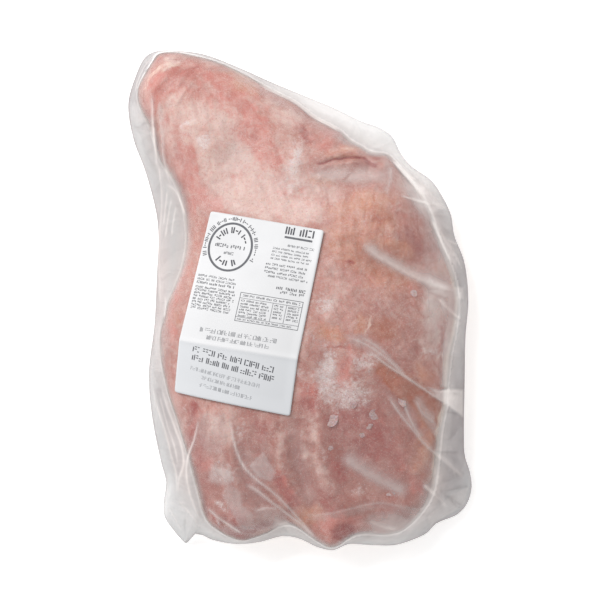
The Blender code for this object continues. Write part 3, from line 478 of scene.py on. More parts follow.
def smooth_line(points, steps=40):
    """A smooth open line through the points."""
    points = np.array(points, float)
    knots = np.concatenate([[0.0], np.cumsum(np.linalg.norm(np.diff(points, axis=0), axis=1))])
    slopes = np.gradient(points, knots, axis=0)
    line = []
    for t in np.linspace(0.0, knots[-1], steps):
        i = min(np.searchsorted(knots, t, side="right") - 1, len(points) - 2)
        span = knots[i + 1] - knots[i]
        u = (t - knots[i]) / span
        line.append(
            (2 * u**3 - 3 * u**2 + 1) * points[i]
            + (u**3 - 2 * u**2 + u) * span * slopes[i]
            + (3 * u**2 - 2 * u**3) * points[i + 1]
            + (u**3 - u**2) * span * slopes[i + 1]
        )
    return np.array(line)


def line_reach(places, line, closed=False, within=None):
    """For each place: its distance to the line, how far along it that is (0 to 1), and its side.

    The side is 1 to the left of the line and -1 to the right. Places further off than within
    are skipped, and keep an endless distance.
    """
    best = np.full(len(places), np.inf)
    share, side = np.zeros(len(places)), np.ones(len(places))
    near = np.arange(len(places))
    if within is not None:
        low, high = line.min(0) - within, line.max(0) + within
        near = np.flatnonzero(((places > low) & (places < high)).all(1))
    spots = places[near]
    ends = np.roll(line, -1, axis=0) if closed else line[1:]
    starts = line if closed else line[:-1]
    lengths = np.linalg.norm(ends - starts, axis=1)
    before = np.concatenate([[0.0], np.cumsum(lengths)])
    for i, (a, b) in enumerate(zip(starts, ends)):
        step = b - a
        off = spots - a
        t = np.clip(off @ step / max(step @ step, 1e-12), 0.0, 1.0)
        far = np.linalg.norm(off - t[:, None] * step, axis=1)
        nearer = far < best[near]
        hit = near[nearer]
        best[hit] = far[nearer]
        share[hit] = (before[i] + t[nearer] * lengths[i]) / before[-1]
        side[hit] = np.sign(step[0] * off[nearer, 1] - step[1] * off[nearer, 0])
    return best, share, side


def inside(places, loop):
    """Whether each place lies inside the closed loop."""
    odd = np.zeros(len(places), bool)
    for (x0, y0), (x1, y1) in zip(loop, np.roll(loop, -1, axis=0)):
        if y0 == y1:
            continue
        crosses = (y0 > places[:, 1]) != (y1 > places[:, 1])
        odd ^= crosses & (places[:, 0] < (x1 - x0) * (places[:, 1] - y0) / (y1 - y0) + x0)
    return odd


def mound(places, x, y, along, across, turn):
    """A smooth hill of height 1 at x and y, with its own reach along its turned axis and across it."""
    angle = math.radians(turn)
    away = places - (x, y)
    ahead = away[:, 0] * math.cos(angle) + away[:, 1] * math.sin(angle)
    aside = away[:, 1] * math.cos(angle) - away[:, 0] * math.sin(angle)
    return np.exp(-((ahead / along) ** 2) - (aside / across) ** 2)


def patches(places, table, start=0.0):
    """The sum at each place of a table of mounds, each with its height or strength last."""
    total = np.full(len(places), start)
    for *where, strength in table:
        total += strength * mound(places, *where)
    return total


def eased(share):
    """A share from 0 to 1, eased at both ends."""
    share = np.clip(share, 0.0, 1.0)
    return share * share * (3.0 - 2.0 * share)


LATTICE = np.random.default_rng(3).random((256, 256))
OCTAVE_TURN = 0.7


def lattice_noise(places, seed):
    """Smooth noise of 0 to 1 at each place, with lumps about 1 across."""
    cell = np.floor(places).astype(int)
    u, v = eased(places - cell).T
    i, j = (cell + (37 * seed, 91 * seed)).T % 256
    k, m = (i + 1) % 256, (j + 1) % 256
    low = LATTICE[i, j] * (1.0 - u) + LATTICE[k, j] * u
    high = LATTICE[i, m] * (1.0 - u) + LATTICE[k, m] * u
    return low * (1.0 - v) + high * v


def fractal(places, size, seed, octaves=4):
    """Fractal noise of about -1 to 1 at each place, with lumps of the given size."""
    total, weight = np.zeros(len(places)), 0.0
    cos, sin = math.cos(OCTAVE_TURN), math.sin(OCTAVE_TURN)
    spots = places / size
    for k in range(octaves):
        total += lattice_noise(spots, seed + 5 * k) / 1.8**k
        weight += 1.0 / 1.8**k
        spots = 2.0 * spots @ np.array([[cos, sin], [-sin, cos]])
    return 3.0 * (total / weight - 0.5)


def warped(places, size, reach, seed):
    """The places moved about by noise, so that what is read there gets an uneven outline."""
    return places + reach * np.column_stack([fractal(places, size, seed + k, 3) for k in (0, 1)])


def fibre_direction(places):
    """The way that the fibres run at each place, as steps of length 1."""
    total = np.zeros((len(places), 2))
    for x, y, reach, turn in FIBRES:
        weight = 1.0 / (1.0 + ((places - (x, y)) ** 2).sum(1) / reach**2) ** 3
        # Fibres have no front or back, so it's twice the angle that is averaged.
        double = 2.0 * math.radians(turn)
        total += weight[:, None] * (math.cos(double), math.sin(double))
    angle = np.arctan2(total[:, 1], total[:, 0]) / 2.0
    return np.column_stack([np.cos(angle), np.sin(angle)])


def fibres(places, size, reach, seed, steps=7):
    """Noise smeared along the fibres over a reach, of about -1 to 1."""
    total = fractal(places, size, seed, 2)
    for way in (1.0, -1.0):
        spots, heading = places, way * fibre_direction(places)
        for _ in range(steps):
            spots = spots + heading * (reach / steps)
            onward = fibre_direction(spots)
            heading = onward * np.where((onward * heading).sum(1) < 0.0, -1.0, 1.0)[:, None]
            total += fractal(spots, size, seed, 2)
    return np.clip(0.45 * (total - total.mean()) / total.std(), -1.0, 1.0)


# ---------------------------------------------------------------------------------------------
# The form of the shoulder


def label_plan(across, down):
    """The place on the label's plan at a share across it and a share down it."""
    across, down = np.asarray(across, float), np.asarray(down, float)
    top, crease, bottom = (np.array(line) for line in LABEL_LINES)
    upper = np.clip(down / LABEL_CREASE, 0.0, 1.0)[..., None]
    lower = np.clip((down - LABEL_CREASE) / (1.0 - LABEL_CREASE), 0.0, 1.0)[..., None]
    left = top[0] + (crease[0] - top[0]) * upper + (bottom[0] - crease[0]) * lower
    right = top[1] + (crease[1] - top[1]) * upper + (bottom[1] - crease[1]) * lower
    return left + (right - left) * across[..., None]


def away_from_label(places):
    """0 under the label, where the film is held flat, rising to 1 away from it."""
    corners = ((0, 0), (1, 0), (1, LABEL_CREASE), (1, 1), (0, 1), (0, LABEL_CREASE))
    outline = np.array([label_plan(across, down) for across, down in corners])
    far, _, _ = line_reach(places, outline, closed=True, within=LABEL_FADE)
    far = np.where(inside(places, outline), 0.0, far)
    return eased(far / LABEL_FADE)


def meat_loop():
    """The shoulder's own outline."""
    return anticlockwise_from_right(closed_curve(MEAT_OUTLINE, OUTLINE_STEPS // 2))


def bag_loop():
    """The bag's outline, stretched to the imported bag's own width and length."""
    loop = closed_curve(BAG_OUTLINE, OUTLINE_STEPS)
    low, high = loop[:, :2].min(0), loop[:, :2].max(0)
    size = (BAG_HIGH - BAG_LOW)[:2] / MM
    loop[:, :2] = (loop[:, :2] - (low + high) / 2) * (size / (high - low))
    loop[:, :2] += (BAG_HIGH + BAG_LOW)[:2] / 2 / MM
    return anticlockwise_from_right(loop)


def rounded(depth, rounding, bulge):
    """The share of full height at a depth inside the outline: 0 at the outline, 1 past the rounding."""
    rest = 1.0 - np.clip(depth / rounding, 0.0, 1.0)
    return (1.0 - rest**bulge) ** (1.0 / bulge)


def flesh_height(places):
    """The height of the flesh side, before its edges are rounded."""
    relief = patches(places, [muscle[1:] for muscle in MUSCLES])
    for _, line, depth, width in SEAMS:
        far, share, _ = line_reach(places, smooth_line(line), within=4 * width)
        relief -= depth * np.exp(-((far / width) ** 2)) * np.sin(math.pi * share)
    return patches(places, MASSES, BODY_HEIGHT) + relief * away_from_label(places)


def shoulder_faces(places, outline, form):
    """The heights of the flesh side and the skin side, the depth inside the outline, and a mask."""
    depth, _, _ = line_reach(places, outline, closed=True)
    within = inside(places, outline)
    depth = np.where(within, depth, 0.0)
    side = form.side_height / MM
    rounding = form.top_rounding / MM - SHANK_TIGHTER * mound(places, *SHANK_END)
    top = side + (flesh_height(places) - side) * rounded(depth, rounding, TOP_BULGE)
    drop = side - SKIN_HEIGHT
    bottom = side - drop * rounded(depth, form.bottom_rounding / MM, BOTTOM_BULGE)
    return top, bottom, depth, within


# ---------------------------------------------------------------------------------------------
# Grids that fill an outline, and the film stretched over them

GRID_SOFTENING = 0.04
GRID_FOLLOWING = 6
RIM_START = 0.86
RIM_POWER = 1.8


def softened(outline):
    """The outline with its corners and notches smoothed away."""
    reach = int(len(outline) * GRID_SOFTENING)
    return sum(np.roll(outline, shift, axis=0) for shift in range(-reach, reach + 1)) / (2 * reach + 1)


def crowded_rim(reach):
    """The reach from the middle, 0 to 1, with its outermost rings drawn closer and closer together."""
    inner = RIM_POWER / (1.0 - RIM_START + RIM_POWER * RIM_START)
    rest = np.clip((1.0 - reach) / (1.0 - RIM_START), 0.0, 1.0)
    outer = 1.0 - (1.0 - inner * RIM_START) * rest**RIM_POWER
    return np.where(reach < RIM_START, inner * reach, outer)


def face_grid(cells, outline, crowded=False):
    """Places of a grid, of a number of cells across and along, drawn out to fill the outline.

    Only the grid's outermost rings follow the outline's corners and notches.
    """
    u, v = np.meshgrid(*(np.linspace(-1.0, 1.0, number + 1) for number in cells), indexing="ij")
    round_u = u * np.sqrt(1.0 - v * v / 2.0)
    round_v = v * np.sqrt(1.0 - u * u / 2.0)
    reach = np.clip(np.hypot(round_u, round_v), 0.0, 1.0)
    turn = (np.arctan2(round_v, round_u) / (2.0 * math.pi)) % 1.0
    if crowded:
        reach = crowded_rim(reach)
    along = np.linspace(0.0, 1.0, len(outline) + 1)
    rims = []
    for loop in (outline, softened(outline)):
        closed = np.vstack([loop, loop[:1]])
        columns = range(closed.shape[1])
        rims.append(np.stack([np.interp(turn, along, closed[:, k]) for k in columns], axis=-1))
    rim = rims[1] + (rims[0] - rims[1]) * reach[..., None] ** GRID_FOLLOWING
    middle = outline.mean(0)
    return middle + reach[..., None] * (rim - middle)


def rim_of(grid, first=0):
    """The numbers of the points on the grid's rim, in order round it."""
    rows, columns = grid.shape[0] - 1, grid.shape[1] - 1
    ends = [(rows, j) for j in range(columns)]
    ends += [(i, columns) for i in range(rows, 0, -1)]
    ends += [(0, j) for j in range(columns, 0, -1)]
    ends += [(i, 0) for i in range(rows)]
    return [first + i * (columns + 1) + j for i, j in ends]


def grid_quads(grid, first=0, turned=False):
    """The grid's quads, whose points start at the given number."""
    rows, columns = grid.shape[0] - 1, grid.shape[1] - 1
    corner = first + (np.arange(rows)[:, None] * (columns + 1) + np.arange(columns)).ravel()
    quads = np.column_stack([corner, corner + columns + 1, corner + columns + 2, corner + 1])
    return (quads[:, ::-1] if turned else quads).tolist()


def closed_mesh(name, upper, lower):
    """A closed mesh of an upper and a lower grid, joined round their rims.

    The upper grid may be finer than the lower one by a whole number.
    """
    ratio = (len(upper) - 1) // (len(lower) - 1)
    first = upper.shape[0] * upper.shape[1]
    points = np.vstack([upper.reshape(-1, 3), lower.reshape(-1, 3)]) * MM
    faces = grid_quads(upper) + grid_quads(lower, first, turned=True)
    above, below = rim_of(upper), rim_of(lower, first)
    for k, low in enumerate(below):
        run = [above[(ratio * k + n) % len(above)] for n in range(ratio + 1)]
        faces += [(b, a, low) for a, b in zip(run, run[1:])]
        faces.append((run[-1], low, below[(k + 1) % len(below)]))
    mesh = bpy.data.meshes.new(name)
    mesh.from_pydata(points.tolist(), [], faces)
    mesh.shade_smooth()
    return mesh


def stretched(edge, floor, load, rounds=900):
    """A film held at the grid's rim and pulled down by the load, but kept above the floor."""
    film = np.maximum(edge, floor)
    checks = np.indices(film.shape).sum(0)[1:-1, 1:-1] % 2
    quick = 2.0 / (1.0 + math.sin(math.pi / max(film.shape)))
    for turn in range(rounds):
        middle = film[1:-1, 1:-1]
        around = film[:-2, 1:-1] + film[2:, 1:-1] + film[1:-1, :-2] + film[1:-1, 2:]
        moved = middle + quick * ((around / 4.0 - load) - middle)
        moved = np.maximum(moved, floor[1:-1, 1:-1])
        film[1:-1, 1:-1] = np.where(checks == turn % 2, moved, middle)
    return film


def spread_up(heights):
    """Each height raised to the highest of its neighbours on the grid."""
    rows, columns = heights.shape
    padded = np.pad(heights, 1, mode="edge")
    return np.max([padded[i : i + rows, j : j + columns] for i in range(3) for j in range(3)], axis=0)


def linked(name, data):
    """A new object in the scene."""
    made = bpy.data.objects.new(name, data)
    bpy.context.scene.collection.objects.link(made)
    return made


def new_piece(name, mesh, material, slot, *nodes):
    """A piece in the scene that rides on the frame, in the material, standing for the nodes. Slot is not
    used.
    """
    mesh.materials.clear()
    mesh.materials.append(material)
    piece = linked(name, mesh)
    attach(piece, "root")
    if nodes:
        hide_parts(*nodes)
    return piece


def paint(mesh, name, values):
    """Writes a value for each of the mesh's points, for its material to read."""
    layer = mesh.attributes.new(name, "FLOAT", "POINT")
    layer.data.foreach_set("value", np.asarray(values, np.float32))


# ---------------------------------------------------------------------------------------------
# Shader helpers and the effects that several materials share


def add(tree, kind, inputs=None, **settings):
    """A node with its settings made and its inputs set to values or joined to other nodes' outputs."""
    made = tree.nodes.new(kind)
    for key, value in settings.items():
        setattr(made, key, value)
    for key, value in (inputs or {}).items():
        if isinstance(value, bpy.types.NodeSocket):
            tree.links.new(value, made.inputs[key])
        else:
            made.inputs[key].default_value = value
    return made


def math_node(tree, operation, a, b=0.0, clamp=False):
    return add(tree, "ShaderNodeMath", {0: a, 1: b}, operation=operation, use_clamp=clamp).outputs[0]


def times(tree, a, b):
    return math_node(tree, "MULTIPLY", a, b)


def plus(tree, a, b, clamp=False):
    return math_node(tree, "ADD", a, b, clamp)


def mixed(tree, share, a, b):
    """Colour a turned into colour b by the share."""
    a, b = (value if isinstance(value, bpy.types.NodeSocket) else (*value, 1.0) for value in (a, b))
    return add(tree, "ShaderNodeMix", {0: share, 6: a, 7: b}, data_type="RGBA").outputs[2]


def dulled(tone, *factors):
    """The colour darkened by one factor, or by one for each channel."""
    return tuple(channel * factor for channel, factor in zip(tone, factors * 3))


def ranged(tree, value, low, high, to_low=0.0, to_high=1.0):
    """The value read off between two ends, eased."""
    inputs = {"Value": value, "From Min": low, "From Max": high, "To Min": to_low, "To Max": to_high}
    return add(tree, "ShaderNodeMapRange", inputs, interpolation_type="SMOOTHSTEP").outputs[0]


def attribute(tree, name):
    return add(tree, "ShaderNodeAttribute", attribute_name=name).outputs["Fac"]


def new_group(name, inputs, outputs):
    """An empty shader group with float inputs and outputs: its tree, given values and output node."""
    tree = bpy.data.node_groups.new(name, "ShaderNodeTree")
    for label, default in inputs:
        socket = tree.interface.new_socket(label, in_out="INPUT", socket_type="NodeSocketFloat")
        socket.default_value = default
    for label in outputs:
        tree.interface.new_socket(label, in_out="OUTPUT", socket_type="NodeSocketFloat")
    return tree, add(tree, "NodeGroupInput").outputs, add(tree, "NodeGroupOutput")


def object_noise(tree, size, detail=4.0, rough=0.55, distort=0.0):
    """Noise on the object's own coordinates, with lumps of about the size in metres."""
    place = add(tree, "ShaderNodeTexCoord").outputs["Object"]
    inputs = {"Vector": place, "Detail": detail, "Roughness": rough, "Distortion": distort}
    given = isinstance(size, bpy.types.NodeSocket)
    inputs["Scale"] = math_node(tree, "DIVIDE", 1.0, size) if given else 1.0 / size
    return add(tree, "ShaderNodeTexNoise", inputs).outputs["Fac"]


def ragged_patch_group():
    """Turns a soft field of 0 to 1 into patches with ragged edges."""
    name = "ragged_patch"
    if name in bpy.data.node_groups:
        return bpy.data.node_groups[name]
    inputs = (("Amount", 0.0), ("Lump Size", 0.01), ("Raggedness", 2.0), ("Softness", 0.5))
    tree, given, out = new_group(name, inputs, ("Mask",))
    lumps = object_noise(tree, given["Lump Size"], detail=6.0, rough=0.62)
    shift = times(tree, math_node(tree, "SUBTRACT", lumps, 0.5), given["Raggedness"])
    presence = ranged(tree, given["Amount"], 0.02, 0.25)
    total = plus(tree, given["Amount"], times(tree, shift, presence))
    half = times(tree, given["Softness"], 0.5)
    low, high = math_node(tree, "SUBTRACT", 0.5, half), plus(tree, 0.5, half)
    tree.links.new(ranged(tree, total, low, high), out.inputs["Mask"])
    return tree


def frozen_grain_group():
    """The fine grain of frozen stuff: a tone of 0 to 1, bright specks, and a height for bumps."""
    name = "frozen_grain"
    if name in bpy.data.node_groups:
        return bpy.data.node_groups[name]
    tree, given, out = new_group(name, (("Grain Size", 0.002),), ("Tone", "Specks", "Pits", "Height"))
    fine = object_noise(tree, given["Grain Size"], detail=3.0, rough=0.7)
    broad_size = times(tree, given["Grain Size"], 4.5)
    broad = object_noise(tree, broad_size, detail=4.0, rough=0.6, distort=0.4)
    tone = plus(tree, times(tree, fine, 0.55), times(tree, broad, 0.45))
    tree.links.new(ranged(tree, tone, 0.36, 0.64), out.inputs["Tone"])
    tree.links.new(ranged(tree, fine, 0.56, 0.70), out.inputs["Specks"])
    tree.links.new(ranged(tree, fine, 0.44, 0.30), out.inputs["Pits"])
    tree.links.new(tone, out.inputs["Height"])
    return tree


def ragged_patch(tree, amount, size, raggedness, softness):
    inputs = {"Amount": amount, "Lump Size": size, "Raggedness": raggedness, "Softness": softness}
    return add(tree, "ShaderNodeGroup", inputs, node_tree=ragged_patch_group()).outputs["Mask"]


def frozen_grain(tree, size):
    return add(tree, "ShaderNodeGroup", {"Grain Size": size}, node_tree=frozen_grain_group()).outputs


def new_material(name, inputs):
    """A material with the constant inputs of its Principled shader set: its tree and its shader."""
    made = bpy.data.materials.new(name)
    made.use_nodes = True
    shader = made.node_tree.nodes["Principled BSDF"]
    for key, value in inputs.items():
        shader.inputs[key].default_value = value
    return made, made.node_tree, shader


def surface(tree, shader, tone, rough, height=None, strength=0.0, distance=0.0):
    """Joins a colour and a roughness to a material's shader, and the bumps of a height."""
    tree.links.new(tone, shader.inputs["Base Color"])
    tree.links.new(rough, shader.inputs["Roughness"])
    if height is not None:
        bump = add(tree, "ShaderNodeBump", {"Height": height, "Strength": strength, "Distance": distance})
        tree.links.new(bump.outputs[0], shader.inputs["Normal"])


# ---------------------------------------------------------------------------------------------
# What a user may change


def length(name, description, default):
    """A length in metres, shown in the scene's units."""
    return FloatProperty(
        name=name, description=description, default=default, min=0.0, unit="LENGTH", precision=5
    )


def number(name, description, default, low, high, subtype="NONE"):
    return FloatProperty(
        name=name, description=description, default=default, min=low, max=high, subtype=subtype
    )


def colour(name, description, default):
    return FloatVectorProperty(
        name=name, description=description, default=default, size=3, min=0.0, max=1.0, subtype="COLOR"
    )


def count(name, description, default, low, high):
    return IntProperty(name=name, description=description, default=default, min=low, max=high)


class ShoulderSettings(PropertyGroup):
    side_height: length("Side Height", "Height of the shoulder's widest line above the table", 0.038)
    top_rounding: length("Top Rounding", "How far inside its outline the flesh is at its full height", 0.046)
    bottom_rounding: length("Bottom Rounding", "How far inside the outline the skin lies flat", 0.040)
    lump_height: length("Lump Height", "Height of the lumps of the frozen flesh", 0.0011)
    bundle_height: length("Bundle Height", "Height of the bundles of fibres", 0.0006)
    fibre_height: length("Fibre Height", "Height of the single fibres", 0.00025)
    skin_step: length("Skin Step", "How far the cut skin stands above the flesh", 0.0008)
    cells_across: count("Cells Across", "Cells across the flesh's grid, in fives", 240, 50, 240)
    cells_along: count("Cells Along", "Cells along the flesh's grid, in fives", 350, 50, 350)
    rose: colour("Rose", "Middle colour of the flesh", (0.46, 0.19, 0.152))
    pale: colour("Pale Rose", "Colour of the flesh where it is frosted through", (0.755, 0.567, 0.508))
    red: colour("Red", "Colour of bare red flesh", (0.57, 0.19, 0.155))
    lean: colour("Lean", "Colour of bare lean flesh", (0.33, 0.085, 0.072))
    deep: colour("Deep Lean", "Colour of the darkest lean flesh", (0.28, 0.020, 0.012))
    tan: colour("Tan", "Colour of dried flesh", (0.56, 0.235, 0.138))
    brown: colour("Brown", "Colour of the darkest dried flesh", (0.37, 0.115, 0.062))
    mauve: colour("Mauve", "Colour of the flesh in the shade of the film", (0.318, 0.118, 0.096))
    fat: colour("Fat", "Colour of fat", (0.78, 0.60, 0.50))
    skin: colour("Skin", "Colour of the skin", (0.66, 0.47, 0.37))
    frost: colour("Frost", "Colour of the frost on the flesh", (0.73, 0.625, 0.605))


class BoneSettings(PropertyGroup):
    radius: length("Radius", "Radius of the shank bone's cut end", 0.0085)
    bone: colour("Bone", "Colour of the bone's hard ring", (0.78, 0.66, 0.54))
    marrow: colour("Marrow", "Colour of the marrow", (0.55, 0.22, 0.17))


class FilmSettings(PropertyGroup):
    clearance: length("Clearance", "How far the film keeps off the flesh", 0.0008)
    edge: length("Edge", "Thickness of the film's edge, where its two layers meet", 0.0006)
    suction: number("Suction", "How hard the film is drawn down where nothing holds it up", 0.010, 0.0, 0.1)
    cells_across: count("Cells Across", "Cells across the film's grid, in fives", 240, 50, 240)
    cells_along: count("Cells Along", "Cells along the film's grid, in fives", 350, 50, 350)
    wrinkle_height: length("Wrinkle Height", "Height of the wrinkles in the slack film", 0.0016)
    haze: number("Haze", "How much the film hides of what it lies on", 0.055, 0.0, 1.0, "FACTOR")
    tint: colour("Tint", "Colour of the film's haze", (0.66, 0.66, 0.665))
    # Bright is also the colour of the painted highlights on the folds' crests and of the lit facets
    bright: colour("Bright", "Colour of the film's haze along its folds", (0.90, 0.82, 0.785))
    slack: colour("Slack", "Colour of the film's haze in the slack margins", (0.315, 0.32, 0.325))
    # The colour of the painted reflection of the flesh in the slack film beside it
    flesh_reflection: colour("Blush", "The slack film beside the flesh", (0.41, 0.265, 0.24))
    shade: colour("Shade", "Colour of the film's haze where it hangs in shade", (0.265, 0.23, 0.235))


class IceSettings(PropertyGroup):
    flake_thickness: length("Flake Thickness", "Thickness of a flake of ice", 0.0006)
    crumb_size: length("Crumb Size", "Radius of the largest crumb of frost", 0.0011)
    crumbs: number("Crumbs", "Crumbs of frost on a square metre of frosted flesh", 160000.0, 0.0, 500000.0)
    seed: count("Seed", "Which scatter of crumbs is taken", 4, 0, 99)
    ice: colour("Ice", "Colour of the ice", (0.62, 0.46, 0.45))


class LabelSettings(PropertyGroup):
    thickness: length("Thickness", "Thickness of the paper", 0.00025)
    lift: length("Lift", "How far the label's lower and right edges stand off the film", 0.0009)
    crease: length("Crease", "Height of the crease across the label", 0.0011)
    paper: colour("Paper", "Colour of the paper", (0.735, 0.735, 0.745))


class PrintSettings(PropertyGroup):
    thickness: length("Thickness", "How far the print stands above the paper", 0.00006)
    seed: count("Seed", "Which run of strokes is taken", 11, 0, 99)
    ink: colour("Ink", "Colour of the darkest print", (0.035, 0.035, 0.045))
    faint: colour("Faint Ink", "Colour of the faintest print", (0.40, 0.41, 0.43))


class StageSettings(PropertyGroup):
    floor: colour("Floor", "Colour of the plain floor", (0.95, 0.95, 0.95))
    floor_glow: number("Floor Glow", "Light that the floor gives off by itself", 0.42, 0.0, 2.0)
    camera_height: length("Camera Height", "Height of the camera above the table", 1.8)
    lens: number("Lens", "Focal length in millimetres", 119.0, 20.0, 300.0)
    key_power: number("Key Power", "Power of the soft light from the upper left", 30.0, 0.0, 500.0, "POWER")
    glint_power: number("Glint Power", "Power of the light that the film mirrors", 5.0, 0.0, 500.0, "POWER")
    sky: number("Sky", "Strength of the even light all round", 0.62, 0.0, 4.0)


# ---------------------------------------------------------------------------------------------
# The shoulder

SKIN_SIDE_FROM, SKIN_SIDE_OVER = 80.0, 35.0
SKIN_SIDE_TOP, SKIN_SIDE_BOTTOM, SKIN_SIDE_FADE = 40.0, -180.0, 30.0
RELIEF_FADE = 6.0
# Bundles of fibres and single ones: width, reach along them
BUNDLE = (5.0, 16.0)
FIBRE = (1.5, 5.0)


def skin_reach(places):
    """How far inside the shoulder's outline its skin reaches at each place."""
    x, y = places.T
    right = eased((x - SKIN_SIDE_FROM) / SKIN_SIDE_OVER)
    right *= eased((SKIN_SIDE_TOP - y) / SKIN_SIDE_FADE) * eased((y - SKIN_SIDE_BOTTOM) / SKIN_SIDE_FADE)
    return (SKIN_EDGE + (SKIN_EDGE_RIGHT - SKIN_EDGE) * right) * (1.0 + 0.4 * fractal(places, 14.0, 8))


# How the edges of the tones and of the marks wander: size, reach, seed
TONE_WANDER, TONE_FRINGE, MARK_WANDER = (16.0, 3.0, 41), (4.5, 1.3, 51), (5.0, 0.9, 71)


def flesh_side(places, outline, form):
    """Heights of the lumpy flesh side, with the depth inside the outline and the mask."""
    top, _, depth, within = shoulder_faces(places, outline, form)
    fade = away_from_label(places) * eased(depth / RELIEF_FADE)
    lumps = fractal(places, 15.0, 2) * form.lump_height / MM
    step = eased(0.5 - (depth - skin_reach(places)) / SKIN_EDGE_WIDTH)
    return top + (lumps + step * form.skin_step / MM) * fade, depth, within


def make_shoulder(form):
    """The shoulder: its flesh side, its skin, and the fields that its material reads."""
    outline = meat_loop()
    upper = face_grid((form.cells_across, form.cells_along), outline, crowded=True)
    cells_below = (form.cells_across // LOWER_CELL, form.cells_along // LOWER_CELL)
    lower = face_grid(cells_below, outline, crowded=True)
    places = upper.reshape(-1, 2)
    top, depth, _ = flesh_side(places, outline, form)
    bundles, single = fibres(places, *BUNDLE, seed=11), fibres(places, *FIBRE, seed=23)
    fade = away_from_label(places) * eased(depth / RELIEF_FADE)
    top += (bundles * form.bundle_height + single * form.fibre_height) / MM * fade
    _, bottom, _, _ = shoulder_faces(lower.reshape(-1, 2), outline, form)
    upper = np.dstack([upper, top.reshape(upper.shape[:2]) + SEAM])
    lower = np.dstack([lower, bottom.reshape(lower.shape[:2]) - SEAM])
    mesh = closed_mesh("pork_shoulder", upper, lower)
    below = lower.shape[0] * lower.shape[1]
    uneven = warped(warped(places, *TONE_WANDER), *TONE_FRINGE)
    past = depth - skin_reach(places)
    fields = {name: patches(uneven, table) for name, table in TONES.items()}
    uneven = warped(places, *MARK_WANDER)
    for name, line, width, strength in MARKS:
        far, share, _ = line_reach(uneven, smooth_line(line), within=3 * width)
        ends = eased(np.minimum(share, 1.0 - share) / FOLD_FADE)
        fields[name] += strength * ends * np.exp(-((far / width) ** 2))
    fields["fibre"] = 0.5 + 0.5 * single
    fields["bundle"] = 0.5 + 0.5 * bundles
    fields["skin"] = eased(0.5 - past / SKIN_EDGE_WIDTH)
    for name, values in fields.items():
        rest = np.full(below, 1.0 if name == "skin" else 0.0)
        paint(mesh, name, np.concatenate([values, rest]))
    return new_piece("pork_shoulder", mesh, flesh_material(form), "frozen_flesh", "filled_bag")


def threads(tree, size):
    """Thin crooked threads of about the size apart, in places only."""
    drift = object_noise(tree, size, detail=5.0, rough=0.55, distort=1.6)
    from_middle = math_node(tree, "ABSOLUTE", math_node(tree, "SUBTRACT", drift, 0.5))
    thread = ranged(tree, from_middle, 0.0, 0.024, 1.0, 0.0)
    return times(tree, thread, ranged(tree, object_noise(tree, 3.0 * size), 0.42, 0.60))


def flesh_material(form):
    """Frozen flesh: streaky rose with its patches of other tones, frost on it, and skin round it."""
    made, tree, shader = new_material(
        "frozen_flesh", {"Specular IOR Level": 0.45, "Subsurface Weight": 0.10, "Subsurface Scale": 0.003}
    )
    grain = frozen_grain(tree, 0.0012)
    broad = ranged(tree, object_noise(tree, 0.040, detail=5.0, rough=0.6), 0.38, 0.62)
    mottle = ranged(tree, object_noise(tree, 0.012, detail=8.0, rough=0.70, distort=0.8), 0.40, 0.66)
    small = ranged(tree, object_noise(tree, 0.0050, detail=6.0, rough=0.70, distort=0.6), 0.42, 0.66)
    fibre = ranged(tree, attribute(tree, "fibre"), 0.2, 0.8)
    bundle = ranged(tree, attribute(tree, "bundle"), 0.2, 0.8)

    tone = mixed(tree, times(tree, broad, 0.16), form.rose, form.pale)
    tone = mixed(tree, times(tree, bundle, 0.16), tone, form.mauve)
    # Each tone: its field, the size of its ragged edge, raggedness, softness, how much it hides
    layers = (
        ("mauve", 0.016, 1.4, 1.0, 0.70), ("tan", 0.012, 1.7, 0.9, 0.85), ("pale", 0.011, 1.8, 0.9, 0.72),
        ("brown", 0.009, 1.5, 0.9, 0.90), ("fat", 0.006, 1.6, 0.7, 0.78), ("red", 0.008, 2.0, 0.9, 0.85),
        ("lean", 0.007, 1.9, 1.0, 0.85), ("deep", 0.005, 1.3, 1.0, 0.92),
    )
    for name, size, raggedness, softness, most in layers:
        mask = ragged_patch(tree, attribute(tree, name), size, raggedness, softness)
        tone = mixed(tree, times(tree, mask, most), tone, getattr(form, name))
    bared = plus(tree, attribute(tree, "deep"), times(tree, attribute(tree, "mauve"), 0.5))
    bared = plus(tree, bared, times(tree, attribute(tree, "brown"), 0.5))
    bared = ranged(tree, bared, 0.0, 0.8, 1.0, 0.42)
    # Each fine texture: its field, how much it hides, its tone
    fine = (
        (mottle, 0.38, "pale"), (small, 0.34, "red"), (fibre, 0.12, "pale"),
        (threads(tree, 0.0085), 0.34, "pale"), (threads(tree, 0.0055), 0.30, "lean"),
    )
    for value, weight, name in fine:
        share = times(tree, times(tree, value, weight), bared)
        tone = mixed(tree, share, tone, getattr(form, name))

    skin_tone = mixed(tree, mottle, form.skin, form.fat)
    tone = mixed(tree, attribute(tree, "skin"), tone, skin_tone)

    frost = ragged_patch(tree, attribute(tree, "frost"), 0.0045, 1.7, 0.7)
    grainy = ranged(tree, grain["Tone"], 0.0, 1.0, 0.45, 0.85)
    hoar = times(tree, grain["Specks"], 0.36)
    white = plus(tree, times(tree, frost, grainy), hoar, clamp=True)
    tone = mixed(tree, white, tone, form.frost)
    tone = mixed(tree, times(tree, grain["Pits"], 0.50), tone, form.lean)
    rough = plus(tree, ranged(tree, grain["Tone"], 0.0, 1.0, 0.40, 0.60), times(tree, frost, 0.2))
    surface(tree, shader, tone, rough, plus(tree, times(tree, grain["Height"], 0.6), mottle), 0.35, 0.0008)
    return made


# ---------------------------------------------------------------------------------------------
# The shank's bone

BONE_MIDDLE = (-131.0, 207.0, 38.0)
BONE_FACING = (-0.70, 0.71, 0.05)
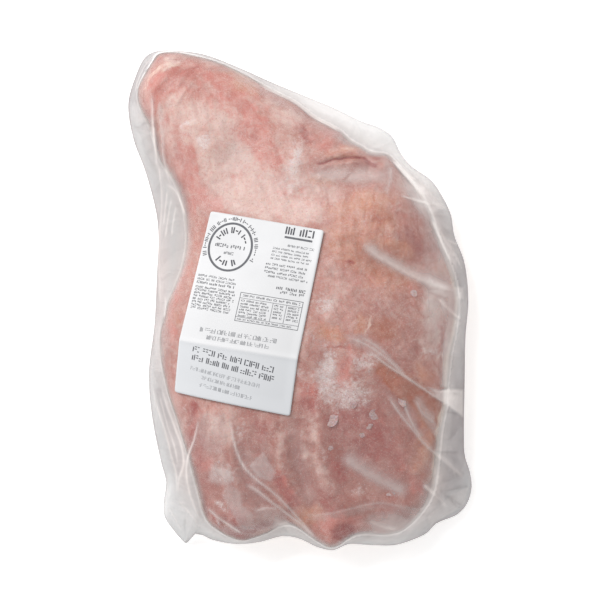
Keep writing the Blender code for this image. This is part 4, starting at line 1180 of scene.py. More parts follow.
# Its height as a share of its width, how uneven its rim is, and where its hard ring starts
BONE_FLATTENED, BONE_UNEVEN, BONE_HARD = 0.82, 0.07, 0.5
# Rings from its middle out and down its side: share of its radius, how far it stands out of the cut
BONE_RINGS = (
    (0, 0.9), (0.30, 1), (0.52, 1.15), (0.60, 1.6), (0.82, 1.7), (0.94, 1.35), (1, 0.5), (1, -3),
)
BONE_STEPS = 36


def make_bone(bone):
    """The cut end of the shank bone, a hard ring round its marrow."""
    facing = Vector(BONE_FACING).normalized()
    sideways = facing.cross(Vector((0.0, 0.0, 1.0))).normalized()
    upwards = sideways.cross(facing)
    points, hard = [], []
    for reach, proud in BONE_RINGS:
        for k in range(BONE_STEPS):
            turn = 2 * math.pi * k / BONE_STEPS
            wobble = 1.0 + BONE_UNEVEN * noise.noise(Vector((math.cos(turn), math.sin(turn), 3.0)))
            out = reach * bone.radius * wobble
            place = Vector(BONE_MIDDLE) * MM + facing * proud * MM
            place += sideways * out * math.cos(turn)
            points.append(place + upwards * out * BONE_FLATTENED * math.sin(turn))
            hard.append(float(eased((reach - BONE_HARD) / 0.12)))
    faces = []
    for ring in range(len(BONE_RINGS) - 1):
        for k in range(BONE_STEPS):
            a, b = ring * BONE_STEPS + k, ring * BONE_STEPS + (k + 1) % BONE_STEPS
            faces.append((a, a + BONE_STEPS, b + BONE_STEPS, b))
    faces.append(list(range((len(BONE_RINGS) - 1) * BONE_STEPS, len(BONE_RINGS) * BONE_STEPS))[::-1])
    mesh = bpy.data.meshes.new("shank_bone")
    mesh.from_pydata(points, [], faces)
    paint(mesh, "hard", hard)
    shape = bmesh.new()
    shape.from_mesh(mesh)
    bmesh.ops.remove_doubles(shape, verts=shape.verts, dist=1e-6)
    bmesh.ops.recalc_face_normals(shape, faces=shape.faces)
    shape.to_mesh(mesh)
    shape.free()
    mesh.shade_smooth()
    return new_piece("shank_bone", mesh, bone_material(bone), "cut_bone")


def bone_material(bone):
    """Sawn bone: a pale hard ring with fine pores, and darker marrow in the middle."""
    made, tree, shader = new_material("cut_bone", {"Specular IOR Level": 0.4})
    grain = frozen_grain(tree, 0.0012)
    hard = ragged_patch(tree, attribute(tree, "hard"), 0.003, 0.6, 0.5)
    dull = dulled(bone.bone, 0.72)
    ring = mixed(tree, grain["Tone"], dull, bone.bone)
    spongy = mixed(tree, grain["Specks"], bone.marrow, dull)
    rough = ranged(tree, grain["Tone"], 0.0, 1.0, 0.45, 0.7)
    surface(tree, shader, mixed(tree, hard, spongy, ring), rough, grain["Height"], 0.5, 0.0006)
    return made


# ---------------------------------------------------------------------------------------------
# The film

FOLD_RISE = 0.7
# Half width of the painted highlight along a fold's crest
CREST_WIDTH = 0.95
SEAL_WIDTH = 1.7
# How much more narrowly a fold's whitish band ends on the side that its crest faces
BAND_CRISP = 1.8
# How much weaker the folds show on the slack film
MARGIN_FOLDS = 0.55
# How far inside the shoulder's outline the slack film starts to show
MARGIN_START = 3.0
# A whitish veil just inside the shoulder's outline: half width, how far inside, its strength on the left,
# and the way across which it grows to its full strength
RIM_WIDTH, RIM_INSIDE, RIM_LEFT, RIM_GROWS = 3.0, 3.0, 0.5, 120.0
# Painted shade in the crease at the foot of the shoulder: strength, how far outside, half width
FOOT, FOOT_OUTSIDE, FOOT_WIDTH = 0.30, 1.4, 2.4
# The painted reflection of the flesh in the slack film all round the shoulder: strength, half width
REFLECTION_ROUND, REFLECTION_WIDTH = 0.40, 8.0
# Wrinkles of the slack film: length, spacing, and how far from the bag's edge they are at their full height
WRINKLE_LENGTH, WRINKLE_SPACING, WRINKLE_START = 60.0, 13.0, 9.0
# How far a wrinkle wanders sideways, in spacings, and over what size
WRINKLE_DRIFT, WRINKLE_DRIFT_SIZE = 0.9, 40.0
# How many cells the film's grid is across where its suction is as given
SUCTION_CELLS = 60.0
# How the edges of the milky and veiled patches wander: size, reach, seed
VEIL_WANDER = (14.0, 2.5, 61)
# How far a flake's bump in the film reaches past the flake
FLAKE_SPREAD = 1.3
# Patches in the same form as the tones, where the slack film hangs in shade
SHADED = (
    (-138, 202, 34, 16, 52, 0.80), (-150, 168, 30, 12, 96, 0.35), (-138, 110, 50, 12, 108, 0.30),
    (-128, 18, 60, 12, 90, 0.50), (-76, 218, 60, 9, -22, 0.50), (-128, -80, 80, 12, 98, 0.30),
    (144, -20, 70, 13, 90, 0.60), (138, -100, 42, 15, 88, 0.85), (140, -150, 30, 17, 80, 0.70),
    (133, 62, 28, 12, 72, 0.35), (128, -190, 34, 14, 30, 0.45), (144, 20, 24, 10, 90, 0.50),
)
# Where a hazy veil lies over the edge of the flesh
VEILED = (
    (-122, 16, 76, 14, 90, 0.45), (119, 6, 50, 10, 96, 0.6), (112, -160, 40, 10, 76, 0.35),
    (100, 92, 34, 10, -50, 0.6), (84, -200, 30, 9, 10, 0.7), (-104, -130, 40, 8, 104, 0.5),
    (-52, -203, 40, 6, -8, 0.5), (-30, 182, 44, 5, -30, 0.6), (48, 138, 36, 5, -26, 0.8),
)
# Where the slack film is clearer, and where it shows a painted reflection of the flesh beside it
CLEARER = (
    (40, 166, 60, 20, -35, 0.40), (98, 112, 30, 14, -50, 0.30), (-120, -190, 24, 24, 0, 0.25),
)
FLESH_REFLECTION = (
    (-125, 10, 66, 9, 90, 0.9), (126, 52, 56, 12, 108, 0.9), (133, -50, 60, 8, 90, 0.5),
    (96, 108, 30, 9, -48, 0.6), (-108, -122, 60, 9, 100, 0.8), (118, -170, 36, 12, 66, 0.8),
    (-132, 190, 24, 9, 56, 0.4),
)


def film_folds(places, margin):
    """Fold heights, whitish bands, painted highlights on the crests, and facets of painted shade."""
    rise, band, crest = (np.zeros(len(places)) for _ in range(3))
    shown = 1.0 - MARGIN_FOLDS * margin
    for _, line, height, width, bright, band_width, offset, strength in FOLDS:
        reach = 5 * width + 3 * band_width
        far, share, side = line_reach(places, smooth_line(line), within=reach)
        ends = eased(np.minimum(share, 1.0 - share) / FOLD_FADE)
        rise = np.maximum(rise, FOLD_RISE * height * ends * np.exp(-far / width))
        beside = (far * side - offset) / band_width
        near = np.where(np.isfinite(beside), beside, reach) * np.where(beside > 0.0, 1.0, BAND_CRISP)
        band = np.maximum(band, strength * ends * shown * np.exp(-(near**2)))
        crest = np.maximum(crest, bright * ends * shown * np.exp(-((far / CREST_WIDTH) ** 2)))
    dim = np.zeros(len(places))
    for outline, soft, strength, lit in FACETS:
        outline = np.array(outline, float)
        far, _, _ = line_reach(places, outline, closed=True, within=soft)
        depth = np.where(np.isfinite(far), far, soft) * np.where(inside(places, outline), 1.0, -1.0)
        facet = strength * eased(0.5 + depth / soft)
        # A lit facet joins the whitish bands as painted light, any other one is painted shade
        band, dim = (np.maximum(band, facet), dim) if lit else (band, np.maximum(dim, facet))
    away = away_from_label(places)
    return rise * away, band * away, crest * away, dim * away


def slack_wrinkles(places, outline):
    """Soft wrinkles that run inwards from the bag's edge, of about -1 to 1, and the depth inside it."""
    depth, share, _ = line_reach(places, outline, closed=True)
    ring = np.vstack([outline, outline[:1]])
    around = share * np.linalg.norm(np.diff(ring, axis=0), axis=1).sum()
    drift = WRINKLE_DRIFT * fractal(places, WRINKLE_DRIFT_SIZE, 5)
    spots = np.column_stack([around / WRINKLE_SPACING + drift, depth / WRINKLE_LENGTH])
    return 1.0 - 2.0 * np.abs(fractal(spots, 1.0, 7, 2)), depth


def flake_bumps(places):
    """How far the flakes of ice push the film up."""
    bumps = np.zeros(len(places))
    for x, y, length, width, turn in FLAKES:
        bumps = np.maximum(bumps, mound(places, x, y, FLAKE_SPREAD * length, FLAKE_SPREAD * width, turn))
    return bumps


def film_faces(shoulder, film, ice):
    """The grids of the upper and lower film, and the fields that the film's material reads."""
    outline, bag = meat_loop(), bag_loop()
    upper = face_grid((film.cells_across, film.cells_along), bag)
    shape = upper.shape[:2]
    places = upper[..., :2].reshape(-1, 2)
    flesh, _, within = flesh_side(places, outline, shoulder)
    flesh += flake_bumps(places) * ice.flake_thickness / MM
    edge = upper[..., 2] + film.edge / MM / 2
    floor = spread_up(np.where(within, flesh, -np.inf).reshape(shape)) + film.clearance / MM
    taut = stretched(edge, floor, film.suction * (SUCTION_CELLS / film.cells_across) ** 2)
    gap = (taut - floor).ravel()
    beside, _, _ = line_reach(places, outline, closed=True)
    outside = np.where(within, -beside, beside)
    margin = eased(1.0 + outside / MARGIN_START)
    rise, band, crest, dim = film_folds(places, margin)
    waves, depth = slack_wrinkles(places, bag[:, :2])
    slack = eased(gap / STAND_OFF) * eased(depth / WRINKLE_START)
    wrinkles = waves * slack * film.wrinkle_height / MM
    height = taut + (rise + np.where(within, np.maximum(wrinkles, -gap), wrinkles)).reshape(shape)
    height[[0, -1], :], height[:, [0, -1]] = edge[[0, -1], :], edge[:, [0, -1]]
    upper[..., 2] = height

    lower = face_grid((film.cells_across // LOWER_CELL, film.cells_along // LOWER_CELL), bag)
    places_below = lower[..., :2].reshape(-1, 2)
    _, skin, _, within_below = shoulder_faces(places_below, outline, shoulder)
    edge_below = lower[..., 2] - film.edge / MM / 2
    ceiling = np.where(within_below, skin, np.inf).reshape(edge_below.shape)
    ceiling = -spread_up(-ceiling) - film.clearance / MM
    lower[..., 2] = np.maximum(-stretched(-edge_below, -ceiling, 0.0), 0.0)

    off = np.where(within, eased(gap / STAND_OFF), 1.0)
    uneven = warped(places, *VEIL_WANDER)
    veil = np.exp(-((np.maximum(beside - RIM_INSIDE, 0.0) / RIM_WIDTH) ** 2))
    foot = FOOT * np.exp(-(((outside - FOOT_OUTSIDE) / FOOT_WIDTH) ** 2))
    rightness = RIM_LEFT + (1.0 - RIM_LEFT) * eased(0.5 + places[:, 0] / RIM_GROWS)
    fields = {
        "stand_off": off,
        "milk": patches(uneven, MILK) * away_from_label(places),
        "band": band,
        "crest": crest,
        "seal": np.exp(-((depth / SEAL_WIDTH) ** 2)),
        "rim": np.maximum(np.where(within, veil, 0.0) * rightness, patches(uneven, VEILED)),
        "margin": margin * (1.0 - patches(places, CLEARER)),
        # Where the slack film shows a painted reflection of the flesh beside it
        "flesh_reflection": np.maximum(patches(places, FLESH_REFLECTION), REFLECTION_ROUND * np.exp(-((beside / REFLECTION_WIDTH) ** 2))),
        # Painted shade: the shaded slack film, the facets in shade and the crease at the foot
        "shade": np.maximum(patches(places, SHADED) * margin, np.maximum(dim, foot)),
        "wave": 0.5 + 0.5 * waves * slack,
    }
    return upper, lower, fields


def make_film(shoulder, film, ice):
    """The clear bag: its upper film stretched over the flesh, and its lower film under the skin."""
    upper, lower, fields = film_faces(shoulder, film, ice)
    mesh = closed_mesh("bag_film", upper, lower)
    below = lower.shape[0] * lower.shape[1]
    for name, values in fields.items():
        paint(mesh, name, np.concatenate([values, np.full(below, 1.0 if name == "stand_off" else 0.0)]))
    return new_piece("bag_film", mesh, film_material(film), "bag_film", "filled_bag")


def film_material(film):
    """Clear film, milky where it stands off the flesh, whitish on folds; painted highlights, shade,
    reflection.
    """
    made, tree, shader = new_material("bag_film", {"Specular IOR Level": 0.8, "IOR": 1.5})
    names = ("stand_off", "crest", "margin", "shade", "seal", "rim", "flesh_reflection", "wave")
    field = {name: attribute(tree, name) for name in names}
    cloud = ranged(tree, object_noise(tree, 0.024, detail=4.0, rough=0.5, distort=0.6), 0.34, 0.66)
    streak = ranged(tree, object_noise(tree, 0.007, detail=4.0, rough=0.5, distort=1.0), 0.36, 0.66)
    milk = ragged_patch(tree, attribute(tree, "milk"), 0.014, 0.5, 1.0)
    band = times(tree, attribute(tree, "band"), ranged(tree, streak, 0.0, 1.0, 0.90, 1.0))
    wave = times(tree, field["margin"], field["wave"])
    grazing = add(tree, "ShaderNodeLayerWeight", {"Blend": 0.35}).outputs["Facing"]

    # What hides the flesh, and how much of it at the most
    haze = plus(tree, film.haze * 0.8, times(tree, cloud, film.haze * 0.4))
    parts = (
        (field["stand_off"], 0.09), (milk, 0.26), (band, 0.54), (field["crest"], 0.34),
        (field["margin"], 0.39), (field["shade"], 0.24), (wave, 0.12), (field["seal"], 0.20),
        (field["rim"], 0.34), (ranged(tree, grazing, 0.45, 1.0), 0.14),
    )
    for value, weight in parts:
        haze = plus(tree, haze, times(tree, value, weight))
    tree.links.new(math_node(tree, "MINIMUM", haze, 0.95), shader.inputs["Alpha"])

    # A painted reflection of the flesh tints the slack film beside it
    slack = mixed(tree, times(tree, field["flesh_reflection"], 0.7), film.slack, film.flesh_reflection)
    tone = mixed(tree, field["margin"], film.tint, slack)
    # Painted shade, and the darker seal at the bag's edge, darken the film
    dark = plus(tree, field["shade"], times(tree, field["seal"], 0.5), clamp=True)
    tone = mixed(tree, dark, tone, film.shade)
    # Painted highlights on the crests, the milky haze, the veil and the whitish bands lighten the film
    lit = plus(tree, field["crest"], times(tree, milk, 0.5))
    lit = plus(tree, lit, times(tree, field["rim"], 0.35))
    lit = plus(tree, lit, times(tree, band, 0.9), clamp=True)
    tone = mixed(tree, lit, tone, film.bright)
    rough = plus(tree, ranged(tree, cloud, 0.0, 1.0, 0.18, 0.30), times(tree, field["margin"], 0.22))
    crinkle = object_noise(tree, 0.030, detail=2.0, rough=0.4, distort=1.0)
    surface(tree, shader, tone, rough, crinkle, 0.5, 0.0030)
    return made


# ---------------------------------------------------------------------------------------------
# The ice between the flesh and the film

FROST_CELLS = (130, 190)
# How deep a crumb's middle lies in the flesh, and the frost at which crumbs start
CRUMB_SINK, CRUMBS_START = 0.35, 0.3
# How far a flake's middle lies above the smooth flesh, over the fibres, and the share of its thickness
# that is added to that
FLAKE_REST, FLAKE_SHARE = 0.35, 0.35
# How far beside a flake the flesh's slope is read
SLOPE_STEP = 1.5
# Crumbs: least and most size along each axis, least and most turn about each axis
CRUMB_SIZES = ((0.3, 0.3, 0.14), (1.0, 1.0, 0.42))
CRUMB_TURNS = ((-0.3, -0.3, 0.0), (0.3, 0.3, 6.28))
# The jags of the ice: how fine they are, and how far they move each point along each axis, in metres
JAG_SCALE, JAG_REACH = 210.0, (0.0040, 0.0040, 0.0006)


def new_geometry_group(name, inputs):
    """An empty geometry group with a mesh and named inputs: its tree, given values and output node."""
    tree = bpy.data.node_groups.new(name, "GeometryNodeTree")
    tree.interface.new_socket("Mesh", in_out="INPUT", socket_type="NodeSocketGeometry")
    tree.interface.new_socket("Mesh", in_out="OUTPUT", socket_type="NodeSocketGeometry")
    for label, kind, default in inputs:
        socket = tree.interface.new_socket(label, in_out="INPUT", socket_type=kind)
        if default is not None:
            socket.default_value = default
    return tree, add(tree, "NodeGroupInput").outputs, add(tree, "NodeGroupOutput")


def named(tree, name):
    """The values of a named attribute."""
    found = add(tree, "GeometryNodeInputNamedAttribute", {"Name": name}, data_type="FLOAT")
    return found.outputs["Attribute"]


def made_by_nodes(name, mesh, tree, settings):
    """The plain mesh that the geometry group makes of a mesh."""
    carrier = linked(name, mesh)
    modifier = carrier.modifiers.new(name, "NODES")
    modifier.node_group = tree
    sockets = {item.name: item.identifier for item in tree.interface.items_tree if item.in_out == "INPUT"}
    for label, value in settings.items():
        modifier[sockets[label]] = value
    graph = bpy.context.evaluated_depsgraph_get()
    result = bpy.data.meshes.new_from_object(carrier.evaluated_get(graph), depsgraph=graph)
    carrier.modifiers.remove(modifier)
    bpy.data.objects.remove(carrier)
    result.name = name
    return result


def placed(tree, points, shape, scale, turn):
    """A copy of the shape at each point, with the point's own scale and turn."""
    turn = add(tree, "FunctionNodeEulerToRotation", {"Euler": turn})
    inputs = {
        "Points": points.outputs["Points"], "Instance": shape.outputs["Mesh"], "Scale": scale,
        "Rotation": turn.outputs[0],
    }
    return add(tree, "GeometryNodeInstanceOnPoints", inputs).outputs["Instances"]


def three(tree, x=0.0, y=0.0, z=0.0):
    return add(tree, "ShaderNodeCombineXYZ", {"X": x, "Y": y, "Z": z}).outputs[0]


def finished(tree, node, given, out):
    """The tree of a group whose mesh comes from this node, in the given material."""
    inputs = {"Geometry": node.outputs[0], "Material": given["Material"]}
    done = add(tree, "GeometryNodeSetMaterial", inputs)
    tree.links.new(done.outputs[0], out.inputs["Mesh"])
    return tree


def ice_group():
    """Scatters crumbs of frost over frosted faces and lays a flake of ice at each loose point."""
    inputs = (
        ("Crumbs", "NodeSocketFloat", 100000.0), ("Crumb Size", "NodeSocketFloat", 0.001),
        ("Flake Thickness", "NodeSocketFloat", 0.001), ("Seed", "NodeSocketInt", 1),
        ("Material", "NodeSocketMaterial", None),
    )
    tree, given, out = new_geometry_group("ice_on_flesh", inputs)
    density = times(tree, named(tree, "frost"), given["Crumbs"])
    scatter = {"Mesh": given["Mesh"], "Density": density, "Seed": given["Seed"]}
    spots = add(tree, "GeometryNodeDistributePointsOnFaces", scatter)
    size, turn = (
        add(tree, "FunctionNodeRandomValue", {"Min": least, "Max": most, "Seed": given["Seed"]},
            data_type="FLOAT_VECTOR").outputs["Value"]
        for least, most in (CRUMB_SIZES, CRUMB_TURNS)
    )
    size = add(tree, "ShaderNodeVectorMath", {0: size, "Scale": given["Crumb Size"]}, operation="SCALE")
    crumb = add(tree, "GeometryNodeMeshIcoSphere", {"Radius": 1.0, "Subdivisions": 1})
    crumbs = placed(tree, spots, crumb, size.outputs["Vector"], turn)

    loose = add(
        tree, "FunctionNodeCompare", {"A": named(tree, "flake_length"), "B": 0.0},
        data_type="FLOAT", operation="GREATER_THAN",
    )
    spots = add(tree, "GeometryNodeMeshToPoints", {"Mesh": given["Mesh"], "Selection": loose.outputs[0]})
    round_shape = {"Vertices": 14, "Side Segments": 1, "Fill Segments": 3, "Radius": 1.0, "Depth": 2.0}
    flake = add(tree, "GeometryNodeMeshCylinder", round_shape)
    half = times(tree, given["Flake Thickness"], 0.5)
    scale = three(tree, named(tree, "flake_length"), named(tree, "flake_width"), half)
    turn = three(tree, named(tree, "flake_tip"), named(tree, "flake_roll"), named(tree, "flake_turn"))
    flakes = placed(tree, spots, flake, scale, turn)

    both = tree.nodes.new("GeometryNodeJoinGeometry")
    for source in (crumbs, flakes):
        tree.links.new(source, both.inputs["Geometry"])
    solid = add(tree, "GeometryNodeRealizeInstances", {"Geometry": both.outputs["Geometry"]})
    jag = add(tree, "ShaderNodeTexNoise", {"Scale": JAG_SCALE, "Detail": 1.5})
    jag = add(
        tree, "ShaderNodeVectorMath", {0: jag.outputs["Color"], 1: (0.5, 0.5, 0.5)}, operation="SUBTRACT"
    )
    jag = add(tree, "ShaderNodeVectorMath", {0: jag.outputs["Vector"], 1: JAG_REACH}, operation="MULTIPLY")
    jagged = {"Geometry": solid.outputs[0], "Offset": jag.outputs["Vector"]}
    jagged = add(tree, "GeometryNodeSetPosition", jagged)
    shaded = add(tree, "GeometryNodeSetShadeSmooth", {"Geometry": jagged.outputs[0], "Shade Smooth": False})
    return finished(tree, shaded, given, out)


def make_ice(shoulder, ice):
    """Crumbs of frost over the frosted flesh, and the larger flakes of ice."""
    outline = meat_loop()
    grid = face_grid(FROST_CELLS, outline)
    places = grid.reshape(-1, 2)
    top, _, _ = flesh_side(places, outline, shoulder)
    frost = np.clip(patches(places, FROST) - CRUMBS_START, 0.0, 1.0) * away_from_label(places)
    points = np.column_stack([places, top - CRUMB_SINK]) * MM
    quads = np.array(grid_quads(grid))
    quads = quads[frost[quads].max(1) > 0.0]

    flakes = np.array(FLAKES)
    middles = flakes[:, :2]
    steps = ((0.0, 0.0), (SLOPE_STEP, 0.0), (0.0, SLOPE_STEP))
    seat, beside_x, beside_y = (flesh_side(middles + step, outline, shoulder)[0] for step in steps)
    resting = seat + FLAKE_REST + FLAKE_SHARE * ice.flake_thickness / MM
    flake_points = np.column_stack([middles, resting]) * MM
    mesh = bpy.data.meshes.new("ice_flakes")
    mesh.from_pydata(np.vstack([points, flake_points]).tolist(), [], quads.tolist())
    paint(mesh, "frost", np.concatenate([frost, np.zeros(len(flakes))]))
    fields = {
        "flake_length": flakes[:, 2] * MM,
        "flake_width": flakes[:, 3] * MM,
        "flake_turn": np.radians(flakes[:, 4]),
        "flake_tip": np.arctan((beside_y - seat) / SLOPE_STEP),
        "flake_roll": -np.arctan((beside_x - seat) / SLOPE_STEP),
    }
    for name, values in fields.items():
        paint(mesh, name, np.concatenate([np.zeros(len(points)), values]))
    material = ice_material(ice)
    settings = {
        "Crumbs": ice.crumbs, "Crumb Size": ice.crumb_size, "Flake Thickness": ice.flake_thickness,
        "Seed": ice.seed, "Material": material,
    }
    made = made_by_nodes("ice_flakes", mesh, ice_group(), settings)
    return new_piece("ice_flakes", made, material, "frost_ice")


def ice_material(ice):
    """Frosted ice: whitish and grainy, slightly clearer in places."""
    inputs = {"Specular IOR Level": 0.5, "IOR": 1.31, "Subsurface Weight": 0.2, "Subsurface Scale": 0.002}
    made, tree, shader = new_material("frost_ice", inputs)
    grain = frozen_grain(tree, 0.0014)
    tone = mixed(tree, grain["Tone"], dulled(ice.ice, 0.90, 0.80, 0.78), ice.ice)
    tree.links.new(ranged(tree, grain["Tone"], 0.0, 1.0, 0.62, 0.86), shader.inputs["Alpha"])
    rough = ranged(tree, grain["Specks"], 0.0, 1.0, 0.30, 0.55)
    surface(tree, shader, tone, rough, grain["Height"], 0.4, 0.0005)
    return made


# ---------------------------------------------------------------------------------------------
# The label

LABEL_ROWS, LABEL_COLUMNS = 96, 60
LABEL_CLEARANCE = 0.12
CREASE_WIDTH = 1.5
# The share of the label's width and height over which its right and lower edges lift
LIFTED_SHARE = 0.08


def corner_drawn_in(across, down):
    """Shares across and down the label, with its four corners drawn in to an arc."""
    half = np.array([LABEL_WIDTH, LABEL_HEIGHT]) / 2
    place = (np.array([across, down]) - 0.5) * 2 * half
    inner = half - LABEL_CORNER
    past = (np.abs(place) - inner) / LABEL_CORNER
    if min(past) > 0.0:
        a, b = past
        arc = np.array([a * math.sqrt(1.0 - b * b / 2.0), b * math.sqrt(1.0 - a * a / 2.0)])
        place = np.sign(place) * (inner + LABEL_CORNER * arc)
    return place / (2 * half) + 0.5


def piece_made(name):
    """A piece that another one is laid on."""
    if name not in bpy.data.objects:
        raise RuntimeError(name + " has to be made first")
    return bpy.data.objects[name]


def make_label(label):
    """The paper label, which follows the film under it and lifts a little along two edges."""
    film = piece_made("bag_film").data
    surface = BVHTree.FromPolygons([v.co for v in film.vertices], [f.vertices for f in film.polygons])
    sheet = np.zeros((LABEL_ROWS + 1, LABEL_COLUMNS + 1, 3))
    shares = np.zeros((LABEL_ROWS + 1, LABEL_COLUMNS + 1, 2))
    for i in range(LABEL_ROWS + 1):
        for j in range(LABEL_COLUMNS + 1):
            shares[i, j] = corner_drawn_in(j / LABEL_COLUMNS, i / LABEL_ROWS)
            x, y = label_plan(*shares[i, j])
            spot = surface.ray_cast(Vector((x * MM, y * MM, 1.0)), Vector((0.0, 0.0, -1.0)))[0]
            if spot is None:
                raise RuntimeError("the label runs off the bag")
            sheet[i, j] = (x, y, spot.z / MM)
    across, down = shares[..., 0], shares[..., 1]
    floor = spread_up(sheet[..., 2]) + LABEL_CLEARANCE
    height = stretched(floor.copy(), floor, 0.0, rounds=300)
    lift = np.maximum(eased((across - 1.0) / LIFTED_SHARE + 1.0), eased((down - 1.0) / LIFTED_SHARE + 1.0))
    ridge = np.exp(-np.abs(down - LABEL_CREASE) * LABEL_HEIGHT / CREASE_WIDTH)
    sheet[..., 2] = height + lift * label.lift / MM + ridge * label.crease / MM
    under = sheet - (0.0, 0.0, LABEL_CLEARANCE / 2)
    over = sheet + (0.0, 0.0, label.thickness / MM - LABEL_CLEARANCE / 2)
    mesh = closed_mesh("paper_label", over, under)
    paint(mesh, "across", np.tile(across.ravel(), 2))
    paint(mesh, "down", np.tile(down.ravel(), 2))
    return new_piece("paper_label", mesh, paper_material(label), "label_paper", "label")


def paper_material(label):
    """Coated paper: nearly plain white, with a faint fibre, and greyer below its crease as painted shade."""
    made, tree, shader = new_material("label_paper", {"Specular IOR Level": 0.35})
    fibre = frozen_grain(tree, 0.0009)
    cloud = ranged(tree, object_noise(tree, 0.035, detail=3.0), 0.35, 0.65)
    tone = mixed(tree, cloud, label.paper, dulled(label.paper, 0.975))
    # Painted shade: the paper is greyer below the crease, where the label tilts away from the light
    low = ranged(tree, attribute(tree, "down"), LABEL_CREASE - 0.004, LABEL_CREASE + 0.012)
    tone = mixed(tree, low, tone, dulled(label.paper, 0.875, 0.89, 0.905))
    surface(tree, shader, tone, ranged(tree, cloud, 0.0, 1.0, 0.38, 0.5), fibre["Height"], 0.12, 0.0003)
    return made


# ---------------------------------------------------------------------------------------------
# The label's print, in millimetres across and down it. Only strokes, bars, a ring and a table.

RING_MIDDLE, RING_HALF, RING_LINE, RING_TONE, RING_PIECES = (24.1, 27.9), (18.4, 20.6), 1.85, 0.18, 72
# Strokes round the ring: share of its radius, first and last turn, height, weight, tone
ARCS = (
    (1.20, 206, -24, 3.3, 0.74, 0.08), (0.72, 160, 20, 5.2, 1.15, 0.03),
    (0.70, -134, -46, 5.6, 1.25, 0.02),
)
# Rows of strokes: start, end, height, weight, tone from dark to faint
ROWS = (
    ((67, 5.4), (94.5, 5.4), 6.6, 1.30, 0.03), ((10.5, 27.4), (37.5, 27.4), 3, 0.78, 0.06),
    ((19.5, 33.4), (28.5, 33.4), 2.4, 0.60, 0.12), ((72, 18.4), (95, 18.4), 1.9, 0.44, 0.16),
    ((61, 47), (95, 47), 1.8, 0.48, 0.14), ((70, 56), (95, 56), 2.5, 0.72, 0.04),
    ((74, 59.4), (95, 59.4), 2.2, 0.62, 0.06), ((2.5, 62), (36, 62), 2.1, 0.60, 0.05),
    ((44, 67.3), (93, 67.3), 1.8, 0.50, 0.08), ((43.5, 88.2), (90, 88.2), 1.4, 0.40, 0.18),
    ((15, 102.2), (82, 102.2), 4, 0.50, 0.38), ((22, 108.2), (75, 108.2), 3.6, 0.50, 0.40),
    ((12, 119.6), (82.6, 126.4), 4.8, 0.86, 0.06), ((12, 126.8), (82.5, 133.6), 4.8, 0.86, 0.06),
    ((12, 136.2), (72, 141), 3.2, 0.38, 0.66), ((22, 142.6), (56, 145.4), 3, 0.38, 0.68),
    ((21, 149), (67, 152), 3.2, 0.38, 0.56),
)
# Blocks of rows: left, right, first row, last row, how many, height, weight, tone
PARAGRAPHS = (
    (60, 95, 22.4, 31.4, 4, 1.5, 0.44, 0.18), (57, 95, 36.6, 43.6, 3, 1.8, 0.56, 0.10),
    (2.5, 38.5, 55.8, 58.9, 2, 1.8, 0.52, 0.12), (2.5, 38.5, 66, 84.4, 8, 1.7, 0.54, 0.04),
    (43.5, 69.5, 71.8, 85, 6, 1.6, 0.50, 0.08), (71.8, 81, 71.8, 82.4, 5, 1.6, 0.50, 0.08),
    (83.5, 94, 71.8, 82.4, 5, 1.6, 0.50, 0.08),
)
# Straight rules: start, end, weight, tone
RULES = (
    ((42, 65), (95, 65), 0.48, 0.18), ((42, 90), (95, 90), 0.48, 0.18), ((42, 65), (42, 90), 0.48, 0.18),
    ((95, 65), (95, 90), 0.48, 0.18), ((42, 69.8), (95, 69.8), 0.36, 0.22),
    ((42, 86.4), (95, 86.4), 0.36, 0.22), ((70.5, 69.8), (70.5, 86.4), 0.36, 0.22),
    ((82, 69.8), (82, 86.4), 0.36, 0.22),
)
# Solid blocks: middle, half width, half height, tone
BLOCKS = (((80, 11.4), 12, 0.9, 0.20),)
# The longest piece of a rule or block, how much longer than its share the pieces of the ring and of a
# block are, and how much shorter than its paragraph a row may end
PRINT_PIECE = 3.0
RING_OVERLAP, BLOCK_OVERLAP = 1.06, 1.02
SHORTEST_ROW = 0.12


def stroke_row(start, end, height, weight, tone, draw):
    """A row of upright strokes and short dashes, in groups as words are spaced."""
    start, end = np.array(start), np.array(end)
    reach = np.linalg.norm(end - start)
    along = (end - start) / reach
    turn = math.atan2(along[1], along[0])
    down = np.array([-along[1], along[0]])
    strokes, at = [], weight
    left = draw.integers(3, 9)
    while at < reach - weight:
        if draw.random() < 0.62:
            tall = height * draw.choice((1.0, 1.0, 0.82))
            middle = start + along * at + down * (height - tall) / 2
            strokes.append((*middle, weight / 2, tall / 2, turn, tone))
            at += weight * draw.uniform(1.6, 2.1)
        else:
            wide = weight * draw.uniform(1.5, 2.3)
            for level in draw.choice((-0.40, 0.0, 0.40), size=2, replace=False):
                middle = start + along * (at + wide / 2 - weight / 2) + down * level * height
                strokes.append((*middle, wide / 2, weight * 0.45, turn, tone))
            at += wide + weight * 0.9
        left -= 1
        if left == 0:
            at += weight * draw.uniform(1.8, 3.0)
            left = draw.integers(3, 9)
    return strokes


def stroke_arc(share, first, last, height, weight, tone, draw):
    """Strokes that stand round the ring, in groups as words are spaced."""
    middle, half = np.array(RING_MIDDLE), np.array(RING_HALF) * share
    reach = abs(math.radians(last - first)) * half.mean()
    strokes = []
    for u, _, half_width, half_height, _, _ in stroke_row((0, 0), (reach, 0), height, weight, tone, draw):
        turn = math.radians(first + (last - first) * u / reach)
        out = np.array([math.cos(turn), -math.sin(turn)])
        upright = math.atan2(out[0], -out[1]) if last < first else math.atan2(-out[0], out[1])
        strokes.append((*(middle + half * out), half_width, half_height, upright, tone))
    return strokes


